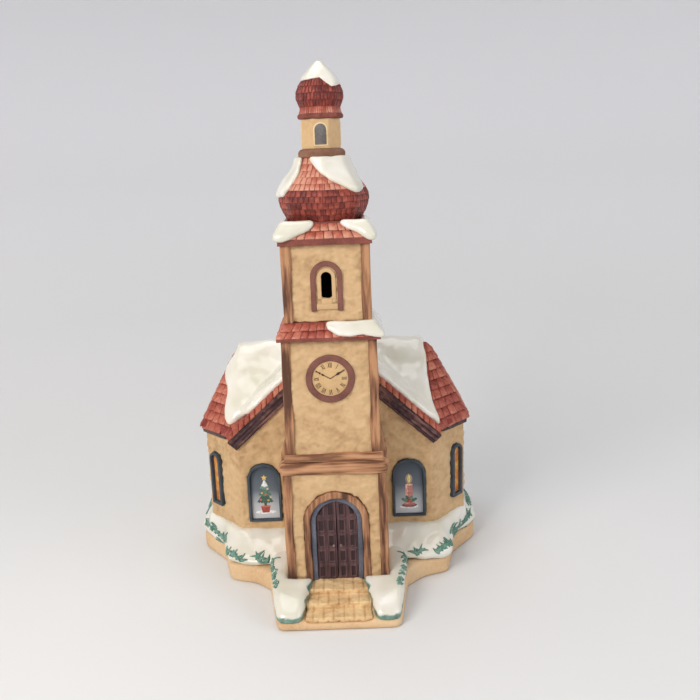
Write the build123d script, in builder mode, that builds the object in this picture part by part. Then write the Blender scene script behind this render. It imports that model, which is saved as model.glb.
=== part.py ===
from build123d import *
import os
from math import atan, cos, pi, radians, sin, sqrt

# A ceramic village church, lit from inside: a main casting with a clock tower, a steeple casting that
# lifts off the tower, and a clip-in lamp with its bulb. Millimetres, +Z up, the church faces -Y, and
# the origin is the middle of the rest face.

os.makedirs("parts", exist_ok=True)

# Plan of the nave: an elongated octagon with the gable wall in front
cast_wall = 3.0
gable_y = -8.5
gable_half = 40.5
corner_cut = 15.5
nave_depth = 58.5

# Tower and porch
tower_axis_y = -19.0
tower_width = 34.0
porch_width = 38.2
porch_proud = 1.5

# Heights, from the table up
plinth_height = 8.0
first_step = 4.8
step_rise = 2.1
step_run = 6.5
step_count = 3
kerb_width = 1.0
wall_foot = 16.0
porch_height = 45.0
lower_log = 5.0
upper_log = 3.0
tower_height = 47.0
nave_height = 44.0
roof_rise = 32.0

# Plinth outline, as margins round the walls it carries
tip_margin = 5.3
notch_margin = 2.2
wing_margin = 5.5
wing_depth = 14.0
tongue_margin = 4.4
rear_margin = 7.5
corner_round = 4.0
steps_margin = 6.6
tongue_fall = 4.6
blanket_inset = 1.0
blanket_bulge = 0.5
blanket_bulge_height = 2.2
blanket_top_margin = 1.4
mound_inset = 0.4
mound_lap = 2.5
mound_splay = 1.8
mound_round = 2.4
mound_corner = 3.0

# Top of the step mounds: shares of their length from the wall forward, heights above the plinth
mound_profile = [(0.0, 5.3), (0.28, 4.3), (0.55, 3.9), (0.76, 2.6), (0.9, 0.6), (1.0, -2.4)]

# Timber trim
board_leg = 3.2
board_proud = 0.7
log_proud = 1.7
lower_round = 2.1
upper_round = 1.2
upper_setback = 0.6
roof_clearance = 1.0
shoulder_width = 3.2
shoulder_height = 13.0

# Nave roof
eave_overhang = 1.8
eave_band_proud = 1.2
eave_band_height = 2.6
ridge_reach = 0.5
ridge_strip = 0.04
nave_courses = 9
nave_lap = 0.7
attic_share = 0.8
attic_drop = 3.5
rake_reach = 4.0
rake_share = 0.725
rake_drop = 2.0
rake_width = 5.2
rake_proud = 2.0
rake_strips = 3
rake_strip_step = 0.4
gable_tile = 2.0
snow_depth = 1.3
snow_wrap_courses = 1.5
snow_setback = 1.6

# Front door
door_width = 16.2
door_spring = 25.0
reveal_width = 1.95
surround_width = 2.6
surround_proud = 0.8
reveal_recess = 0.5
leaf_recess = 1.3
leaf_thickness = 1.5
leaf_gap = 0.3
panel_columns = 2
panel_rows = 5
panel_margin = 0.5
panel_raise = 0.45
knob_radius = 0.75
knob_height = 15.0

# Windows
window_margin = 4.55
window_outer_margin = 3.15
window_height = 25.5
window_foot = 6.0
side_window_width = 6.8
side_window_height = 24.0
side_window_foot = 9.3
side_window_shift = 5.2
frame_width = 1.3
frame_proud = 0.5
pane_recess = 0.9
pane_thickness = 1.0
fit_gap = 0.05

# Clock
clock_rise = 32.5
clock_radius = 9.2
clock_ring_width = 2.4
clock_ring_proud = 0.9
dial_thickness = 0.4
hand_thickness = 0.3
hour_hand = 4.9
minute_hand = 6.2
hand_width = 0.6
hand_shoulder = 0.6
clock_hours = 1
clock_minutes = 49

# Steeple
seam_gap = 0.25
spigot_clearance = 0.3
spigot_depth = 5.0
spigot_wall = 2.5
skirt_width = 38.3
skirt_fascia = 1.4
skirt_rise = 5.1
skirt_courses = 2
belfry_width = 30.4
belfry_height = 28.3
belfry_wall = 2.6
slot_width = 3.9
slot_height = 9.7
slot_foot = 8.7
belfry_arch_width = 11.7
belfry_arch_height = 18.4
belfry_arch_foot = 4.0
belfry_arch_band = 1.95
belfry_arch_proud = 0.8
belfry_sill_height = 4.0
belfry_sill_proud = 0.9
pent_width = 34.0
pent_fascia = 2.4
pent_rise = 5.6
pent_courses = 2
small_lap = 0.5
steeple_snow = 0.9

# Onion domes and lantern
dome_foot = 13.7
dome_widest = 16.6
dome_neck = 8.5
dome_belly = 7.8
dome_height = 22.4
dome_courses = 9
dome_lap = 0.25
lantern_ring_flats = 17.3
lantern_ring_height = 3.0
drum_flats = 14.0
drum_height = 10.6
drum_window_width = 3.6
drum_window_height = 7.4
drum_window_foot = 1.4
drum_window_recess = 0.6
cap_eave_radius = 8.2
cap_eave_fascia = 2.2
cap_eave_height = 4.0
cap_foot = 7.25
cap_widest = 8.3
cap_tip = 1.2
cap_belly = 3.4
cap_height = 14.6
cap_courses = 5
peak_rise = 1.4
peak_coat = 0.6

# Edges of the roof drifts, as shares of half the ridge and of the roof's rise
left_drift = [(1.073, 0.12), (1.11, 0.25), (1.085, 0.44), (1.134, 0.6), (1.037, 0.88), (0.976, 1.1)]
right_drift = [(1.063, 0.055), (1.012, 0.25), (0.98, 0.53), (0.971, 0.75), (0.927, 1.1)]

# Edges of the steeple drifts, as shares of each roof's half width and height
skirt_drift = [
    (-0.031, 1.015),
    (-0.016, 0.708),
    (0.157, 0.4),
    (0.418, 0.292),
    (0.653, 0.369),
    (0.888, 0.169),
    (1.123, 0.138),
    (1.123, 1.015),
]
left_pent_drift = [
    (-1.118, 0.325),
    (-0.924, 0.225),
    (-0.588, 0.55),
    (-0.353, 0.7),
    (-0.2, 1.05),
    (-1.118, 1.05),
]
right_pent_drift = [
    (1.118, 0.325),
    (0.965, 0.225),
    (0.735, 0.575),
    (0.5, 0.75),
    (0.318, 1.05),
    (1.118, 1.05),
]
jacket_steps = 8
peak_drift = [
    (-1.2, 0.66),
    (-0.55, 0.62),
    (0.04, 0.68),
    (0.32, 0.55),
    (0.55, 0.44),
    (0.78, 0.5),
    (1.2, 0.57),
    (1.2, 1.2),
    (-1.2, 1.2),
]
left_dome_drift = [
    (-0.446, 1.004),
    (-0.518, 0.781),
    (-0.711, 0.571),
    (-0.892, 0.411),
    (-1.145, 0.375),
    (-1.145, 1.004),
]
right_dome_drift = [
    (-0.241, 1.004),
    (-0.06, 0.804),
    (0.193, 0.652),
    (0.59, 0.518),
    (0.76, 0.455),
    (0.84, 0.5),
    (0.76, 0.66),
    (0.7, 0.76),
    (1.145, 0.82),
    (1.145, 1.004),
]

# Lamp, sized for a candelabra screw bulb
lamp_rise = 22.0
lamp_hole = 26.0
lamp_clearance = 0.4
flange_diameter = 31.0
flange_thickness = 2.0
barrel_diameter = 19.0
barrel_length = 14.0
cord_hole = 6.0
cord_hole_depth = 5.0
shell_thickness = 0.4
cap_diameter = 11.9
cap_length = 11.0
screw_fit = 0.05
contact_diameter = 5.0
contact_height = 1.0
clip_width = 5.0
clip_thickness = 0.5
clip_setback = 2.0
clip_clearance = 1.0
bulb_diameter = 20.4
bulb_length = 33.0
bulb_neck = 11.0
bulb_belly = 18.0

# Places that follow from the sizes above
back_y = gable_y + nave_depth
ridge_y = (gable_y + back_y) / 2
ridge_half = gable_half + ridge_reach
nave_half = gable_half + corner_cut
tower_half = tower_width / 2
tower_front_y = tower_axis_y - tower_half
porch_half = porch_width / 2
steps_width = porch_width - 2 * steps_margin
porch_front_y = tower_front_y - porch_proud
gable_inner_y = gable_y + cast_wall
gable_front = gable_y - rake_proud
sill_level = first_step + (step_count - 1) * step_rise
porch_top = sill_level + porch_height
ledge_top = porch_top + lower_log
tower_top = ledge_top + tower_height
eave_level = wall_foot + nave_height
ridge_level = eave_level + roof_rise
rake_x = gable_half + rake_reach
rake_foot = eave_level - rake_drop
rake_tan = (eave_level + rake_share * roof_rise - rake_foot) / (rake_x - tower_half)
rake_slope = atan(rake_tan)
tongue_half = porch_half + tongue_margin
tongue_front = porch_front_y - step_count * step_run - kerb_width


def facing(angle, x, y, z):
    """Upright plane at a point; at angle 0 it faces the front, -Y, with its own y axis up."""
    turn = radians(angle)
    return Plane(origin=(x, y, z), x_dir=(cos(turn), sin(turn), 0), z_dir=(sin(turn), -cos(turn), 0))


def both_sides(points):
    """A right-hand half outline, closed by its mirror image on the left."""
    return points + [(-x, y) for x, y in reversed(points)]


def arch(width, height):
    """Face of an upright arch, straight sides under a half circle, foot in the middle of its base."""
    half = width / 2
    spring = height - half
    with BuildSketch(mode=Mode.PRIVATE) as face:
        with BuildLine():
            Polyline((-half, spring), (-half, 0), (half, 0), (half, spring))
            ThreePointArc((half, spring), (0, height), (-half, spring))
        make_face()
    return face.sketch


def nave_outline(offset):
    """Corners of the nave's octagon, moved outwards by an offset."""
    slant = offset * (sqrt(2) - 1)
    return both_sides([
        (gable_half + slant, gable_y - offset),
        (nave_half + offset, gable_y + corner_cut - slant),
        (nave_half + offset, back_y - corner_cut + slant),
        (gable_half + slant, back_y + offset),
    ])


def roof_section(share, offset):
    """Level section of the hipped roof at a share of its rise, moved outwards by an offset."""
    slant = offset * (sqrt(2) - 1)
    eave_slant = eave_overhang * (sqrt(2) - 1)
    front_half = (gable_half + eave_slant) * (1 - share) + ridge_half * share + slant
    end_half = (nave_half + eave_overhang) * (1 - share) + ridge_half * share + offset
    front_run = (ridge_y - gable_y + eave_overhang) * (1 - share) + offset
    end_run = (ridge_y - gable_y - corner_cut + eave_slant) * (1 - share) + slant
    return both_sides([
        (front_half, ridge_y - front_run),
        (end_half, ridge_y - end_run),
        (end_half, ridge_y + end_run),
        (front_half, ridge_y + front_run),
    ])


def rake_line(x):
    """Height of the gable wall's top edge at a distance from the middle."""
    return rake_foot + (rake_x - x) * rake_tan


def gable_courses():
    """Half outline of the cross gable's lapped tiles, from the foot to the top."""
    step = (rake_x - tower_half) / nave_courses
    points = [(rake_x, rake_line(rake_x))]
    for course in range(nave_courses):
        x = rake_x - course * step
        z = rake_line(x) + gable_tile
        points.append((x + nave_lap * sin(rake_slope), z + nave_lap * cos(rake_slope)))
        points.append((x - step, rake_line(x - step) + gable_tile))
    points.append((0, ridge_level))
    return points


def snow_bed(lift):
    """The roof's outside with its tile steps smoothed over, raised by a lift."""
    rise = gable_tile + nave_lap / cos(rake_slope) + lift
    gable = [
        (rake_x, eave_level),
        (rake_x, rake_foot + rise),
        (tower_half, rake_line(tower_half) + rise),
        (0, ridge_level + lift),
    ]
    with BuildPart(mode=Mode.PRIVATE) as bed:
        for share in (0, 1 - ridge_strip):
            with BuildSketch(Plane.XY.offset(eave_level + roof_rise * share + lift)):
                Polygon(*roof_section(share, nave_lap), align=None)
        loft(ruled=True)
        with BuildSketch(facing(0, 0, gable_front, 0)):
            Polygon(*both_sides(gable), align=None)
        extrude(amount=gable_front - ridge_y)
    return bed.part


def onion(share, foot, widest, neck, belly_share, pointed):
    """Radius of an onion dome at a share of its height: full at the belly, drawn in to the neck."""
    if share < belly_share:
        below = (belly_share - share) / belly_share
        return widest - (widest - foot) * (1 - cos(pi / 2 * below))
    above = (share - belly_share) / (1 - belly_share)
    blend = cos(pi / 2 * above) if pointed else (1 + cos(pi * above)) / 2
    return neck + (widest - neck) * blend


def main_onion(share):
    return onion(share, dome_foot, dome_widest, dome_neck, dome_belly / dome_height, False)


def cap_onion(share):
    return onion(share, cap_foot, cap_widest, cap_tip, cap_belly / cap_height, True)


# Plinth: the bare cast foot of the church, its tongue falling to the front
slant_x = gable_half + corner_cut / 2
slant_y = gable_y + corner_cut / 2
diagonal = sqrt(0.5)
plinth_half = [
    (tongue_half, tongue_front),
    (porch_half + 2 * tongue_margin, porch_front_y + 2 * tongue_margin),
    (gable_half - wing_margin, gable_y - wing_depth),
    (gable_half + wing_margin, gable_y - wing_depth + corner_round),
    (slant_x + notch_margin * diagonal, slant_y - notch_margin * diagonal),
    (nave_half + tip_margin, gable_y + corner_cut + tip_margin),
    (nave_half + tip_margin, back_y - corner_cut + tip_margin / 2),
    (gable_half + tip_margin / 2, back_y + rear_margin),
]
with BuildPart() as base_plinth:
    with BuildSketch():
        Polygon(*both_sides(plinth_half), align=None)
        fillet(vertices(), radius=corner_round)
    extrude(amount=plinth_height)
    with BuildSketch(Plane.XY.offset(first_step - step_rise)):
        with Locations((0, tongue_front)):
            Rectangle(steps_width, 2 * (porch_front_y - tongue_front))
    extrude(amount=plinth_height, mode=Mode.SUBTRACT)
    with BuildSketch(facing(90, 0, 0, plinth_height)):
        Polygon((tongue_front, -tongue_fall), (porch_front_y, 0), (tongue_front, 0), align=None)
    extrude(amount=tongue_half + tongue_margin, both=True, mode=Mode.SUBTRACT)
base_plinth.part.label = "base_plinth"
export_step(base_plinth.part, "parts/base_plinth.step")

# Front steps, let into the plinth's tongue, with the landing that carries the porch
with BuildPart() as front_steps:
    for step in range(step_count):
        step_front = tongue_front + kerb_width + step * step_run
        with BuildSketch(Plane.XY.offset(first_step - step_rise)):
            with Locations((0, (step_front + porch_front_y) / 2)):
                Rectangle(steps_width, porch_front_y - step_front)
        extrude(amount=step_rise * (step + 1))
    with BuildSketch(Plane.XY.offset(plinth_height)):
        with Locations((0, (porch_front_y + gable_inner_y) / 2)):
            Rectangle(porch_width, gable_inner_y - porch_front_y)
    extrude(amount=sill_level - plinth_height)
front_steps.part.label = "front_steps"
export_step(front_steps.part, "parts/front_steps.step")


def bank(inset):
    """Outline of the snow blanket's rim, inside the plinth's edge by an inset."""
    return both_sides([
        (gable_half - wing_margin, gable_y - wing_depth + inset),
        (gable_half + wing_margin - inset, gable_y - wing_depth + corner_round + inset),
        (slant_x + blanket_top_margin, slant_y - blanket_top_margin),
        (nave_half + tip_margin - inset, gable_y + corner_cut + tip_margin),
        (nave_half + tip_margin - inset, back_y - corner_cut + tip_margin / 2),
        (gable_half + tip_margin / 2, back_y + rear_margin - inset),
    ])


# Snow blanket: swollen over the plinth's edge, banked up to the foot of the walls, open for the porch
bank_top = both_sides([
    (gable_half - wing_margin, gable_y - blanket_top_margin),
    (gable_half + blanket_top_margin, gable_y - blanket_top_margin),
    (slant_x + blanket_top_margin, slant_y - blanket_top_margin),
    (nave_half + blanket_top_margin, gable_y + corner_cut),
    (nave_half + blanket_top_margin, back_y - corner_cut),
    (gable_half + blanket_top_margin, back_y + blanket_top_margin),
])
with BuildPart() as ground_snow:
    with BuildSketch(Plane.XY.offset(plinth_height)):
        Polygon(*bank(blanket_inset), align=None)
    with BuildSketch(Plane.XY.offset(plinth_height + blanket_bulge_height)):
        Polygon(*bank(-blanket_bulge), align=None)
    with BuildSketch(Plane.XY.offset(wall_foot)):
        Polygon(*bank_top, align=None)
    loft(ruled=True)
    with BuildSketch(Plane.XY.offset(plinth_height)):
        with Locations((0, gable_inner_y)):
            Rectangle(porch_width, 2 * wing_depth + 2 * cast_wall, align=(Align.CENTER, Align.MAX))
    extrude(amount=wall_foot, mode=Mode.SUBTRACT)
ground_snow.part.label = "ground_snow"
export_step(ground_snow.part, "parts/ground_snow.step")

# Snow mounds beside the steps: fat rolls from the blanket past the porch to the tongue's front edge
mound_front = tongue_front + mound_inset
mound_back = gable_y - wing_margin
mound_length = mound_back - mound_front
porch_face = porch_front_y - surround_proud - fit_gap
porch_flank = porch_half + board_proud + fit_gap
mound_outer = porch_half + 2 * tongue_margin - mound_inset
mound_plan = [
    (steps_width / 2 - mound_lap, porch_face),
    (steps_width / 2 + mound_splay, mound_front),
    (tongue_half - mound_inset, mound_front),
    (mound_outer, porch_front_y + 2 * tongue_margin),
    (mound_outer, mound_back),
    (porch_flank, mound_back),
    (porch_flank, porch_face),
]
mound_top = [(mound_back - share * mound_length, plinth_height + rise) for share, rise in mound_profile]
for name, side in (("left_step_mound", -1), ("right_step_mound", 1)):
    with BuildPart() as step_mound:
        with BuildSketch(Plane.XY.offset(first_step - step_rise)):
            Polygon(*[(side * x, y) for x, y in mound_plan], align=None)
            fillet(vertices().group_by(Axis.Y)[0], radius=mound_corner)
        extrude(amount=wall_foot)
        with BuildSketch(facing(90, 0, 0, 0)):
            with BuildLine():
                Spline(*mound_top)
                Polyline(mound_top[-1], (mound_front, 0), (mound_back, 0), mound_top[0])
            make_face()
        extrude(amount=nave_half, both=True, mode=Mode.INTERSECT)
        fillet(faces().sort_by(Axis.Z)[-1].edges(), radius=mound_round)
        for neighbour in (base_plinth, front_steps, ground_snow):
            add(neighbour.part, mode=Mode.SUBTRACT)
    step_mound.part.label = name
    export_step(step_mound.part, f"parts/{name}.step")

# Porch walls: three sides, open at the back into the nave, with the door arch through the front
door_height = door_spring + door_width / 2
reveal_outer = door_width + 2 * reveal_width
surround_outer = reveal_outer + 2 * surround_width
surround_height = door_spring + surround_outer / 2
with BuildPart() as porch_walls:
    with BuildSketch(Plane.XY.offset(sill_level)):
        with Locations((0, porch_front_y)):
            Rectangle(porch_width, gable_inner_y - porch_front_y, align=(Align.CENTER, Align.MIN))
        with Locations((0, porch_front_y + cast_wall)):
            Rectangle(
                porch_width - 2 * cast_wall,
                gable_inner_y - porch_front_y,
                align=(Align.CENTER, Align.MIN),
                mode=Mode.SUBTRACT,
            )
    extrude(amount=porch_height)
    with BuildSketch(facing(0, 0, porch_front_y, sill_level)):
        add(arch(surround_outer, surround_height))
    extrude(amount=-cast_wall, mode=Mode.SUBTRACT)
porch_walls.part.label = "porch_walls"
export_step(porch_walls.part, "parts/porch_walls.step")

# Door surround and reveal: two nested arches, glued in one inside the other
with BuildPart() as door_surround:
    with BuildSketch(facing(0, 0, porch_front_y - surround_proud, sill_level)):
        add(arch(surround_outer - 2 * fit_gap, surround_height - fit_gap))
        add(arch(reveal_outer, door_spring + reveal_outer / 2), mode=Mode.SUBTRACT)
    extrude(amount=-(cast_wall + surround_proud))
door_surround.part.label = "door_surround"
export_step(door_surround.part, "parts/door_surround.step")

with BuildPart() as door_reveal:
    with BuildSketch(facing(0, 0, porch_front_y + reveal_recess, sill_level)):
        add(arch(reveal_outer - 2 * fit_gap, door_spring + reveal_outer / 2 - fit_gap))
        add(arch(door_width, door_height), mode=Mode.SUBTRACT)
    extrude(amount=-(cast_wall - reveal_recess))
door_reveal.part.label = "door_reveal"
export_step(door_reveal.part, "parts/door_reveal.step")

# Door leaves: half arches with raised panels
leaf_width = (door_width - leaf_gap) / 2 - fit_gap
leaf_y = porch_front_y + leaf_recess
column_pitch = (leaf_width - panel_margin) / panel_columns
row_pitch = (door_height - 2 * panel_margin) / panel_rows
door_leaves = []
for name, side in (("left_door_leaf", -1), ("right_door_leaf", 1)):
    leaf_middle = side * (leaf_gap + leaf_width) / 2
    with BuildPart() as door_leaf:
        with BuildSketch(facing(0, 0, leaf_y, sill_level)):
            with Locations((leaf_middle, 0)):
                Rectangle(leaf_width, door_height, align=(Align.CENTER, Align.MIN))
            add(arch(door_width - 2 * fit_gap, door_height - fit_gap), mode=Mode.INTERSECT)
        extrude(amount=-leaf_thickness)
        with BuildSketch(facing(0, 0, leaf_y, sill_level)):
            with Locations((leaf_middle, door_height / 2)):
                with GridLocations(column_pitch, row_pitch, panel_columns, panel_rows):
                    Rectangle(column_pitch - 2 * panel_margin, row_pitch - 2 * panel_margin)
            add(arch(door_width - 3 * panel_margin, door_height - 2 * panel_margin), mode=Mode.INTERSECT)
        extrude(amount=panel_raise)
    door_leaf.part.label = name
    export_step(door_leaf.part, f"parts/{name}.step")
    door_leaves.append(door_leaf.part)

# Door knobs: a ball on a short stem, one on the inner side of each leaf
knob_x = leaf_gap / 2 + panel_margin + knob_radius
knob_y = leaf_y - panel_raise - knob_radius
with BuildPart() as door_knobs:
    with BuildSketch(facing(0, 0, knob_y, sill_level + knob_height)):
        with GridLocations(2 * knob_x, 0, 2, 1):
            Circle(knob_radius / 2)
    extrude(amount=knob_y - leaf_y)
    with Locations((0, knob_y, sill_level + knob_height)):
        with GridLocations(2 * knob_x, 0, 2, 1):
            Sphere(knob_radius)
    add(door_leaves, mode=Mode.SUBTRACT)
door_knobs.part.label = "door_knobs"
export_step(door_knobs.part, "parts/door_knobs.step")

# Lower ledge: a hewn log round three sides of the porch top, which carries the tower
with BuildPart() as lower_ledge:
    with BuildSketch(Plane.XY.offset(porch_top)):
        with Locations((0, gable_y)):
            Rectangle(
                porch_width + 2 * log_proud,
                gable_y - porch_front_y + log_proud,
                align=(Align.CENTER, Align.MAX),
            )
    extrude(amount=lower_log)
    fillet(edges().filter_by(Axis.Z).group_by(Axis.Y)[0], radius=lower_round)
    fillet(faces().sort_by(Axis.Y)[0].edges().filter_by(Axis.X), radius=lower_round)
    with BuildSketch(Plane.XY.offset(porch_top)):
        with Locations((0, gable_y)):
            Rectangle(porch_width, cast_wall, align=(Align.CENTER, Align.MIN))
    extrude(amount=lower_log)
    with BuildSketch(Plane.XY.offset(porch_top)):
        with Locations((0, tower_front_y + cast_wall)):
            Rectangle(tower_width - 2 * cast_wall, nave_depth, align=(Align.CENTER, Align.MIN))
    extrude(amount=lower_log, mode=Mode.SUBTRACT)
lower_ledge.part.label = "lower_ledge"
export_step(lower_ledge.part, "parts/lower_ledge.step")

# Upper ledge: the thinner log across the tower's front
upper_depth = porch_proud + log_proud - upper_setback
with BuildPart() as upper_ledge:
    with BuildSketch(Plane.XY.offset(ledge_top)):
        with Locations((0, tower_front_y)):
            Rectangle(tower_width + 2 * log_proud, upper_depth, align=(Align.CENTER, Align.MAX))
    extrude(amount=upper_log)
    fillet(faces().sort_by(Axis.Y)[0].edges().filter_by(Axis.X), radius=upper_round)
upper_ledge.part.label = "upper_ledge"
export_step(upper_ledge.part, "parts/upper_ledge.step")

# Tower walls: the clock storey, a square tube that takes the steeple's spigot
with BuildPart() as tower_walls:
    with BuildSketch(Plane.XY.offset(ledge_top)):
        with Locations((0, tower_axis_y)):
            Rectangle(tower_width, tower_width)
            Rectangle(tower_width - 2 * cast_wall, tower_width - 2 * cast_wall, mode=Mode.SUBTRACT)
    extrude(amount=tower_height)
tower_walls.part.label = "tower_walls"
export_step(tower_walls.part, "parts/tower_walls.step")

# Tower shoulders: sloped caps on the ledge, along both sides of the tower
shoulder_front = tower_front_y + board_leg
with BuildPart() as tower_shoulders:
    for side in (-1, 1):
        with BuildSketch(facing(0, 0, gable_y, ledge_top)):
            Polygon(
                (side * tower_half, 0),
                (side * (tower_half + shoulder_width), 0),
                (side * (tower_half + shoulder_width), shoulder_width / 2),
                (side * tower_half, shoulder_height),
                align=None,
            )
        extrude(amount=gable_y - shoulder_front)
tower_shoulders.part.label = "tower_shoulders"
export_step(tower_shoulders.part, "parts/tower_shoulders.step")


def corner_boards(half, centre_y, corners, low, high):
    """Angle boards lapped round the upright corners of a square tower or porch."""
    outer = half + board_proud
    with BuildPart(mode=Mode.PRIVATE) as boards:
        for x_side, y_side in corners:
            corner = (x_side * outer, centre_y + y_side * outer)
            with BuildSketch(Plane.XY.offset(low)):
                with Locations(corner):
                    x_align = Align.MAX if x_side > 0 else Align.MIN
                    y_align = Align.MAX if y_side > 0 else Align.MIN
                    Rectangle(board_leg, board_leg, align=(x_align, y_align))
                with Locations((0, centre_y)):
                    Rectangle(2 * half, 2 * half, mode=Mode.SUBTRACT)
            extrude(amount=high - low)
    return boards.part


# Corner boards of the tower: from the upper log to the seam in front, from the roof up behind
roof_at_tower = rake_line(tower_half) + gable_tile + nave_lap + roof_clearance
with BuildPart() as tower_boards:
    add(corner_boards(tower_half, tower_axis_y, ((-1, -1), (1, -1)), ledge_top + upper_log, tower_top))
    add(corner_boards(tower_half, tower_axis_y, ((-1, 1), (1, 1)), roof_at_tower, tower_top))
tower_boards.part.label = "tower_boards"
export_step(tower_boards.part, "parts/tower_boards.step")

# Corner boards of the porch
with BuildPart() as porch_boards:
    add(corner_boards(porch_half, porch_front_y + porch_half, ((-1, -1), (1, -1)), sill_level, porch_top))
porch_boards.part.label = "porch_boards"
export_step(porch_boards.part, "parts/porch_boards.step")

# Clock: ring, dial and hands on the tower's front
clock_z = ledge_top + clock_rise
dial_radius = clock_radius - clock_ring_width
with BuildPart() as clock_ring:
    with BuildSketch(facing(0, 0, tower_front_y, clock_z)):
        Circle(clock_radius)
        Circle(dial_radius, mode=Mode.SUBTRACT)
    extrude(amount=clock_ring_proud)
clock_ring.part.label = "clock_ring"
export_step(clock_ring.part, "parts/clock_ring.step")

with BuildPart() as clock_dial:
    with BuildSketch(facing(0, 0, tower_front_y, clock_z)):
        Circle(dial_radius - fit_gap)
    extrude(amount=dial_thickness)
clock_dial.part.label = "clock_dial"
export_step(clock_dial.part, "parts/clock_dial.step")

hour_turn = -(clock_hours + clock_minutes / 60) * 30
minute_turn = -clock_minutes * 6
with BuildPart() as clock_hands:
    with BuildSketch(facing(0, 0, tower_front_y - dial_thickness, clock_z)):
        Circle(hand_width)
        for length, turn in ((hour_hand, hour_turn), (minute_hand, minute_turn)):
            with Locations(Rotation(0, 0, turn)):
                Polygon(
                    (-hand_width / 2, 0),
                    (hand_width / 2, 0),
                    (hand_width, length * hand_shoulder),
                    (0, length),
                    (-hand_width, length * hand_shoulder),
                    align=None,
                )
    extrude(amount=hand_thickness)
clock_hands.part.label = "clock_hands"
export_step(clock_hands.part, "parts/clock_hands.step")

# Places of the windows: two in the gable wall, one in each slanted wall
window_width = gable_half - porch_half - window_margin - window_outer_margin
window_spacing = 2 * (porch_half + window_margin) + window_width
side_window_z = wall_foot + side_window_foot
window_z = wall_foot + window_foot
slant_shift = side_window_shift * diagonal
rear_slant_y = back_y - corner_cut / 2
side_window_planes = [
    facing(45, slant_x + slant_shift, slant_y + slant_shift, side_window_z),
    facing(-45, -slant_x - slant_shift, slant_y + slant_shift, side_window_z),
    facing(135, slant_x + slant_shift, rear_slant_y - slant_shift, side_window_z),
    facing(-135, -slant_x - slant_shift, rear_slant_y - slant_shift, side_window_z),
]
lamp_z = wall_foot + lamp_rise

# Nave walls: the octagon with the gable in front, open to the porch and tower, pierced for the
# windows and, in the back wall, for the lamp
with BuildPart() as nave_shell:
    with BuildSketch(Plane.XY.offset(wall_foot)):
        Polygon(*nave_outline(0), align=None)
        Polygon(*nave_outline(-cast_wall), align=None, mode=Mode.SUBTRACT)
    extrude(amount=nave_height)
    with BuildSketch(facing(0, 0, gable_y, 0)):
        Polygon(
            *both_sides([(gable_half, eave_level), (gable_half, rake_line(gable_half)), (0, rake_line(0))]),
            align=None,
        )
    extrude(amount=-cast_wall)
    with BuildSketch(facing(0, 0, gable_y, wall_foot)):
        Rectangle(porch_width, ledge_top - wall_foot, align=(Align.CENTER, Align.MIN))
    extrude(amount=-cast_wall, mode=Mode.SUBTRACT)
    with BuildSketch(facing(0, 0, gable_y, ledge_top)):
        Rectangle(tower_width, tower_height, align=(Align.CENTER, Align.MIN))
    extrude(amount=-cast_wall, mode=Mode.SUBTRACT)
    with BuildSketch(facing(0, 0, gable_y, window_z)):
        with GridLocations(window_spacing, 0, 2, 1):
            add(arch(window_width, window_height))
    extrude(amount=-cast_wall, mode=Mode.SUBTRACT)
    for plane in side_window_planes:
        with BuildSketch(plane):
            add(arch(side_window_width, side_window_height))
        extrude(amount=-cast_wall, mode=Mode.SUBTRACT)
    with BuildSketch(facing(180, 0, back_y, lamp_z)):
        Circle(lamp_hole / 2)
    extrude(amount=-cast_wall, mode=Mode.SUBTRACT)

# The nave's castings, butted at the slanted corners: front gable halves, back wall and the two ends
joint_x = gable_half - cast_wall * (sqrt(2) - 1)
for name, x, y, width, depth in (
    ("gable_walls", 0, gable_y, 2 * joint_x, nave_depth),
    ("back_wall", 0, back_y, 2 * joint_x, nave_depth),
    ("left_end_walls", -joint_x - nave_half, ridge_y, 2 * nave_half, 2 * nave_depth),
    ("right_end_walls", joint_x + nave_half, ridge_y, 2 * nave_half, 2 * nave_depth),
):
    with BuildPart() as wall_casting:
        add(nave_shell.part)
        with BuildSketch(Plane.XY.offset(wall_foot)):
            with Locations((x, y)):
                Rectangle(width, depth)
        extrude(amount=ridge_level, mode=Mode.INTERSECT)
    wall_casting.part.label = name
    export_step(wall_casting.part, f"parts/{name}.step")

# Front windows: an arched frame in the wall, with its picture panel set back inside it
pane_width = window_width - 2 * frame_width
for side_name, side in (("left", -1), ("right", 1)):
    window_x = side * window_spacing / 2
    with BuildPart() as window_frame:
        with BuildSketch(facing(0, window_x, gable_y - frame_proud, window_z)):
            add(arch(window_width - 2 * fit_gap, window_height - fit_gap))
            with Locations((0, frame_width)):
                add(arch(pane_width, window_height - 2 * frame_width), mode=Mode.SUBTRACT)
        extrude(amount=-(cast_wall + frame_proud))
    window_frame.part.label = f"{side_name}_window_frame"
    export_step(window_frame.part, f"parts/{side_name}_window_frame.step")
    with BuildPart() as window_panel:
        with BuildSketch(facing(0, window_x, gable_y + pane_recess, window_z + frame_width + fit_gap)):
            add(arch(pane_width - 2 * fit_gap, window_height - 2 * frame_width - 2 * fit_gap))
        extrude(amount=-pane_thickness)
    window_panel.part.label = f"{side_name}_window_panel"
    export_step(window_panel.part, f"parts/{side_name}_window_panel.step")

# Side windows: frames and amber panes in the slanted walls
side_pane_width = side_window_width - 2 * frame_width
with BuildPart() as side_window_frames:
    for plane in side_window_planes:
        with BuildSketch(plane.offset(frame_proud)):
            add(arch(side_window_width - 2 * fit_gap, side_window_height - fit_gap))
            with Locations((0, frame_width)):
                add(arch(side_pane_width, side_window_height - 2 * frame_width), mode=Mode.SUBTRACT)
        extrude(amount=-(cast_wall + frame_proud))
side_window_frames.part.label = "side_window_frames"
export_step(side_window_frames.part, "parts/side_window_frames.step")

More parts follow.
